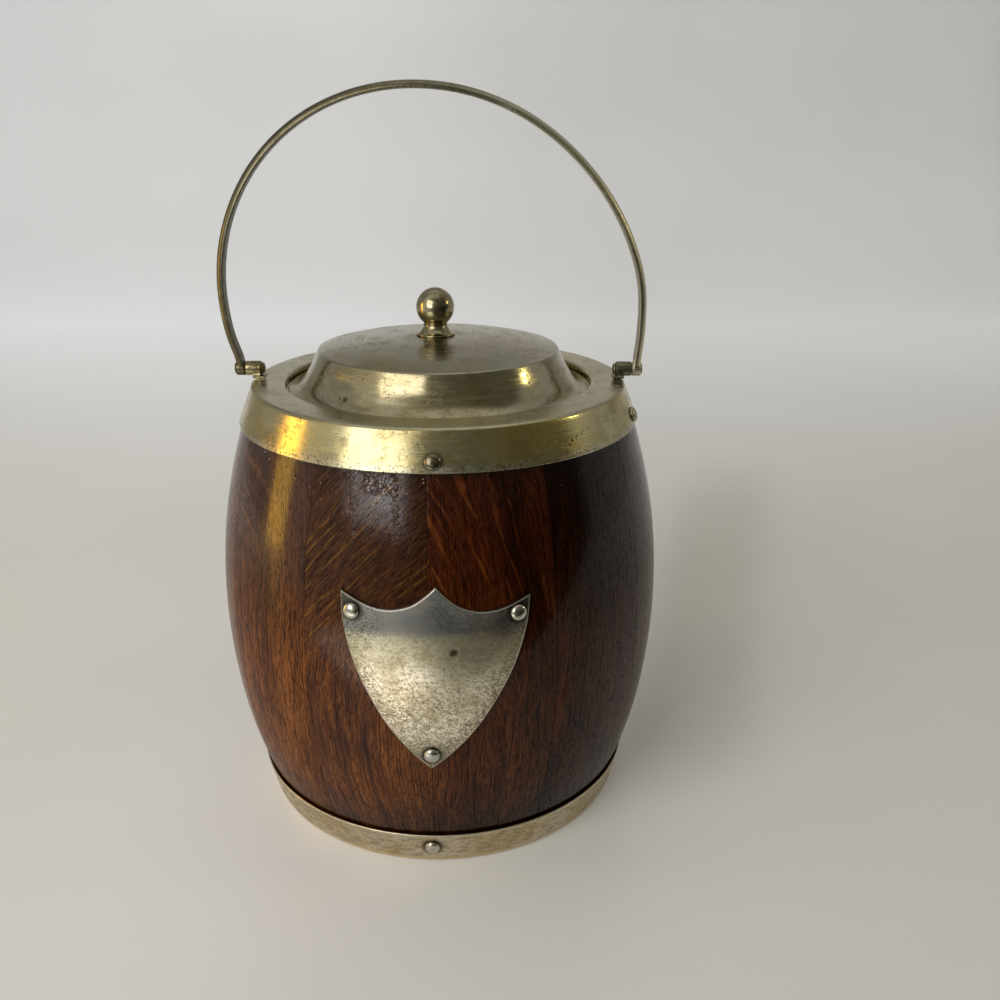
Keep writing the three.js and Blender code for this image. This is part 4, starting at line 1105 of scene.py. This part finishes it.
for side, sign in (("left", -1), ("right", 1)):
    tube = rounded([(1.4, 62.4, 0.1), (2.2, 62.4, 0.12), (2.55, 62.75, 0.15), (2.55, 63.25, 0.06), (2.4, 63.36, 0.05), (2.4, 63.5, 0.05), (2.55, 63.62, 0.06),
                    (2.55, 67.65, 0.16), (2.3, 67.9, 0.12), (1.4, 67.9, 0.1)])
    foot_z = RIM_TOP + 0.13
    section = [(-3.2, foot_z), (3.2, foot_z), (3.2, foot_z + 0.38), (3.05, foot_z + 0.6), (2.62, foot_z + 0.85), (2.42, foot_z + 1.35)]
    for w in range(-20, 201, 10):
        section.append((2.5 * math.cos(math.radians(w)), HINGE_Z + 2.5 * math.sin(math.radians(w))))
    section += [(-2.42, foot_z + 1.35), (-2.62, foot_z + 0.85), (-3.05, foot_z + 0.6), (-3.2, foot_z + 0.38)]
    n = len(section)

    def slab(x0, x1, shape):
        k = len(shape)
        vv = [(sign * x0, y, zz) for y, zz in shape] + [(sign * x1, y, zz) for y, zz in shape]
        ff = [list(range(k)), list(range(2 * k - 1, k - 1, -1))] + [[i, k + i, k + (i + 1) % k, (i + 1) % k] for i in range(k)]
        return vv, ff

    plate = [(-3.2, foot_z), (3.2, foot_z), (3.2, foot_z + 0.38), (3.0, foot_z + 0.56), (-3.0, foot_z + 0.56), (-3.2, foot_z + 0.38)]
    web = slab(62.75, 65.2, section)
    v, f = joined_solid(f"lug_{side}", turned_x(tube, 64, sign), [
        ("UNION", web), ("UNION", slab(61.5, 65.2, plate)),
        ("DIFFERENCE", turned_x([(0, 61.0), (1.4, 61.0), (1.4, 69.0), (0, 69.0)], 64, sign))])
    make(f"hinge_lug_{side}_fine", v, f, hinge_metal, "barrel", [f"hinge_lug_{side}"], sharp=32.0)
    pin = [(0, 61.2), (0.7, 61.23), (1.3, 61.36), (1.75, 61.56), (1.97, 61.80), (2.0, 61.95), (2.0, 62.12), (1.92, 62.2), (1.3, 62.2), (1.3, 71.45),
           (1.8, 71.45), (1.9, 71.52), (1.84, 71.64), (1.55, 71.74), (0.8, 71.79), (0, 71.8)]
    v, f = turned_x(pin, 48, sign)
    make(f"hinge_pin_{side}_fine", v, f, hinge_metal, "barrel", [f"hinge_pin_{side}"], sharp=40.0)

# ---------------------------------------------------------------- bail

def make_bail():
    path = smooth_path(BAIL_PATH, 300)
    tangent = np.gradient(path, axis=0)
    tangent /= np.linalg.norm(tangent, axis=1)[:, None]
    outward = np.stack([tangent[:, 1], -tangent[:, 0]], 1)
    if (outward[150] @ (path[150] - np.array([0, 190.0]))) < 0:
        outward = -outward
    w, d = 2.55, 2.6
    section = [(-w + 0.28, -d / 2), (-w * 0.5, -d / 2), (0, -d / 2), (w * 0.5, -d / 2), (w - 0.28, -d / 2), (w - 0.09, -d / 2 + 0.06), (w, -d / 2 + 0.24)]
    for t in np.linspace(8, 172, 23):
        section.append((w * math.cos(math.radians(t)), -d / 2 + 0.26 + (d - 0.26) * math.sin(math.radians(t))))
    section += [(-w, -d / 2 + 0.24), (-w + 0.09, -d / 2 + 0.06)]
    k = len(section)
    verts, faces = [], []
    for (px, pz), (ox, oz) in zip(path, outward):
        for y, o in section:
            verts.append((px + ox * o, y, pz + oz * o))
    m = len(path)
    for i in range(m - 1):
        for j in range(k):
            e = (j + 1) % k
            faces.append([i * k + j, i * k + e, (i + 1) * k + e, (i + 1) * k + j])
    faces.append(list(range(k)))
    faces.append(list(range(m * k - 1, (m - 1) * k - 1, -1)))
    boss = rounded([(1.4, 68.1, 0.08), (2.3, 68.1, 0.1), (2.5, 68.3, 0.15), (2.5, 71.0, 0.2), (2.2, 71.3, 0.15), (1.4, 71.3, 0.08)])
    bore = [(0, 66.0), (1.4, 66.0), (1.4, 74.0), (0, 74.0)]
    tools = []
    for sign in (1, -1):
        tools.append(("UNION", turned_x(boss, 64, sign)))
        tools.append(("DIFFERENCE", turned_x(bore, 64, sign)))
    v, f = joined_solid("bail", (verts, faces), tools)
    # how far each point lies outside the flat inner side of the wire
    flat = v[:, [0, 2]]
    nearest = np.array([int(np.argmin(((path - q) ** 2).sum(1))) for q in flat])
    depth = ((flat - path[nearest]) * outward[nearest]).sum(1) + d / 2
    depth[flat[:, 1] < HINGE_Z + 2.7] = 1.0
    make("bail_handle_fine", v, f, bail_metal, "bail", ["bail_handle"], sharp=40.0, attributes={"depth": ("FLOAT", depth)})


make_bail()

# ---------------------------------------------------------------- stage

def make_stage():
    m = Finish("pale_floor", Roughness=0.34)
    m.bsdf.inputs["Specular IOR Level"].default_value = 0.85
    p = m.place()
    soft = m.noise(p, 0.006, 3.0, 0.5)
    grain = m.noise(p, 0.9, 3.0, 0.6)
    m.to("Base Color", m.ramp(m.plus(m.mul(soft, 0.8), m.mul(grain, 0.2)), [(0.30, (0.715, 0.700, 0.665)), (0.70, (0.765, 0.752, 0.722))]))
    m.to("Normal", m.bump(grain, 0.01))
    x, y, z = m.split(p)
    # the floor and wall glow as painted light: brighter on the left and on the wall, and dimmer high up and towards the
    # ends
    low = m.math("MAXIMUM", m.step(z, 640.0, 400.0, 0.12, 1.0), m.step(x, 100.0, 500.0, 0.0, 0.85))
    ends = m.mul(m.step(x, -1000.0, -760.0, 0.10, 1.0), m.step(x, 1050.0, 760.0, 0.35, 1.0))
    wall = m.mul(m.step(y, 120.0, 1000.0, 0.0, 1.0), m.step(x, -900.0, 900.0, 0.200, 0.150))
    glow = m.mul(m.plus(m.step(x, -250.0, 250.0, 0.105, 0.045), wall), m.mul(low, ends))
    # the floor glows less in the barrel's shadow, and more where the light falls in front on the left
    off = m.math("ABSOLUTE", m.plus(m.plus(x, m.mul(y, -0.28)), -98.0))
    shade = m.mul(m.step(off, 46.0, 10.0, 0.0, 0.95), m.mul(m.step(y, -45.0, 15.0), m.step(y, 420.0, 240.0)))
    glow = m.mul(glow, m.math("SUBTRACT", 1.0, shade))
    glow = m.plus(glow, m.step(m.far(p, (-78.0, -52.0, 0.0)), 135.0, 25.0, 0.0, 0.055))
    m.to("Emission Color", (0.940, 0.980, 1.065, 1.0))
    m.to("Emission Strength", glow)
    section = [(-0.210 + 0.0495 * i, -0.0002) for i in range(0, 24)]
    for w in np.linspace(0, 90, 25):
        section.append((0.95 + 0.45 * math.sin(math.radians(w)), 0.4498 - 0.45 * math.cos(math.radians(w))))
    section.append((1.40, 2.2))
    bm = bmesh.new()
    rows = [[bm.verts.new((x, y, z)) for y, z in section] for x in np.linspace(-2.4, 2.4, 25)]
    for a, b in zip(rows[:-1], rows[1:]):
        for i in range(len(section) - 1):
            bm.faces.new((a[i], b[i], b[i + 1], a[i + 1]))
    me = bpy.data.meshes.new("pale_sweep")
    bm.to_mesh(me)
    bm.free()
    me.shade_smooth()
    me.materials.append(m.material)
    ob = bpy.data.objects.new("pale_sweep", me)
    scene.collection.objects.link(ob)


make_stage()


def panel(name, azimuth, elevation, distance, width, height, radiance, colour, target=(0, 0, 0.12)):
    """A soft rectangular light that faces the object; radiance is its brightness where it shows in a reflection."""
    a, e = math.radians(azimuth), math.radians(elevation)
    away = Vector((math.sin(a) * math.cos(e), -math.cos(a) * math.cos(e), math.sin(e)))
    data = bpy.data.lights.new(name, "AREA")
    data.shape, data.size, data.size_y = "RECTANGLE", width, height
    data.energy = radiance * math.pi * width * height
    data.color = colour
    ob = bpy.data.objects.new(name, data)
    ob.location = Vector(target) + away * distance
    ob.rotation_euler = away.to_track_quat("Z", "Y").to_euler()
    ob.visible_camera = False
    scene.collection.objects.link(ob)
    return ob


panel("key_panel", -34, 30, 1.15, 0.72, 0.60, 2.5, (1.0, 0.972, 0.925))
low = panel("key_low", -31, 10.5, 1.15, 0.62, 0.20, 3.4, (0.96, 0.98, 1.0))
low.visible_diffuse = False  # the low part of the key light, seen in the varnish only
sill = panel("key_sill", -29, 12.2, 1.15, 0.28, 0.040, 12.0, (0.97, 0.98, 1.0))
sill.visible_diffuse = False
soft = panel("key_softener", -38, 30, 1.16, 0.70, 0.70, 1.3, (1.0, 0.965, 0.90))
soft.visible_glossy = False  # only softens the shadows
panel("warm_panel", -86, 3.5, 0.75, 0.17, 0.42, 4.4, (1.0, 0.56, 0.070))
panel("right_panel", 88, 23.5, 1.10, 0.11, 0.11, 14.0, (1.0, 0.86, 0.40))
# a bright card on the table, in front to the left
card = panel("front_card", 0, 90, 0.001, 0.22, 0.12, 1.32, (1.0, 0.96, 0.89), target=(-0.128, -0.225, 0.0))
card.rotation_euler = (math.pi, 0.0, 0.0)


def make_world():
    """Soft surroundings: pale to the left, right and behind, dim in front and soft above."""
    world = bpy.data.worlds.new("soft_surround")
    scene.world = world
    world.use_nodes = True
    t = world.node_tree
    t.nodes.clear()

    def add(kind, **props):
        n = t.nodes.new(kind)
        for k, x in props.items():
            setattr(n, k, x)
        return n

    def link(a, b):
        t.links.new(a, b)

    def grey(n, stops):
        el = n.color_ramp.elements
        while len(el) < len(stops):
            el.new(0.5)
        for e, (p, c) in zip(el, stops):
            e.position, e.color = p, (*c, 1.0)

    co = add("ShaderNodeTexCoord")
    sep = add("ShaderNodeSeparateXYZ")
    link(co.outputs["Generated"], sep.inputs[0])
    back = add("ShaderNodeMath", operation="MULTIPLY")
    link(sep.outputs[1], back.inputs[0])
    back.inputs[1].default_value = -1.0
    az = add("ShaderNodeMath", operation="ARCTAN2")
    link(sep.outputs[0], az.inputs[0])
    link(back.outputs[0], az.inputs[1])
    turn = add("ShaderNodeMapRange")
    link(az.outputs[0], turn.inputs[0])
    for s, x in zip(turn.inputs[1:5], (-math.pi, math.pi, 0.0, 1.0)):
        s.default_value = x
    around = add("ShaderNodeValToRGB")
    link(turn.outputs[0], around.inputs[0])

    def at(deg):
        return (deg + 180) / 360

    grey(around, [(0.0, (0.42, 0.42, 0.41)), (at(-92), (0.36, 0.355, 0.34)), (at(-78), (0.60, 0.59, 0.55)), (at(-54), (0.56, 0.55, 0.50)),
                  (at(-14), (0.24, 0.235, 0.21)), (at(4), (0.075, 0.07, 0.06)), (at(40), (0.030, 0.028, 0.024)), (at(82), (0.032, 0.030, 0.026)),
                  (at(88), (0.34, 0.335, 0.32)), (1.0, (0.42, 0.42, 0.41))])
    upper = add("ShaderNodeValToRGB")
    link(turn.outputs[0], upper.inputs[0])
    grey(upper, [(0.0, (0.44, 0.44, 0.43)), (at(-92), (0.34, 0.335, 0.32)), (at(-76), (0.62, 0.61, 0.57)), (at(-54), (0.62, 0.60, 0.54)),
                 (at(-10), (0.20, 0.195, 0.17)), (at(14), (0.135, 0.13, 0.105)), (at(50), (0.115, 0.11, 0.085)), (at(80), (0.12, 0.115, 0.09)),
                 (at(88), (0.32, 0.315, 0.30)), (1.0, (0.44, 0.44, 0.43))])
    rise = add("ShaderNodeMapRange", interpolation_type="SMOOTHSTEP")
    link(sep.outputs[2], rise.inputs[0])
    for k, x in zip(rise.inputs[1:5], (0.0, 0.34, 0.0, 1.0)):
        k.default_value = x
    sides = add("ShaderNodeMix", data_type="RGBA")
    link(rise.outputs[0], sides.inputs[0])
    link(around.outputs[0], sides.inputs[6])
    link(upper.outputs[0], sides.inputs[7])
    lift = add("ShaderNodeMapRange", interpolation_type="SMOOTHSTEP")
    link(sep.outputs[2], lift.inputs[0])
    for k, x in zip(lift.inputs[1:5], (0.76, 0.96, 0.0, 1.0)):
        k.default_value = x
    both = add("ShaderNodeMix", data_type="RGBA")
    link(lift.outputs[0], both.inputs[0])
    link(sides.outputs[2], both.inputs[6])
    both.inputs[7].default_value = (0.60, 0.595, 0.56, 1.0)
    lit = add("ShaderNodeBackground")
    link(both.outputs[2], lit.inputs[0])
    seen = add("ShaderNodeBackground")
    seen.inputs[0].default_value = (0.56, 0.56, 0.55, 1.0)
    path = add("ShaderNodeLightPath")
    pick = add("ShaderNodeMixShader")
    link(path.outputs["Is Camera Ray"], pick.inputs[0])
    link(lit.outputs[0], pick.inputs[1])
    link(seen.outputs[0], pick.inputs[2])
    out = add("ShaderNodeOutputWorld")
    link(pick.outputs[0], out.inputs[0])


make_world()

scene.view_settings.view_transform = "Standard"
scene.view_settings.look = "None"
scene.view_settings.exposure = 0.0
scene.view_settings.gamma = 1.0

# ---------------------------------------------------------------- camera

camera_data = bpy.data.cameras.new("camera")
camera_data.sensor_width = 36.0
camera_data.lens = 36.003
camera_data.clip_start, camera_data.clip_end = 0.01, 50.0
camera = bpy.data.objects.new("camera", camera_data)
right = Vector((0.99991775, -0.01195742, 0.00463757))
up = Vector((-0.00015544, 0.35027174, 0.93664811))
forward = Vector((0.01282431, 0.9365718, -0.35024107))
camera.matrix_world = Matrix((
    (right.x, up.x, -forward.x, 0.016988),
    (right.y, up.y, -forward.y, -0.347750),
    (right.z, up.z, -forward.z, 0.237921),
    (0, 0, 0, 1)))
scene.collection.objects.link(camera)
scene.camera = camera
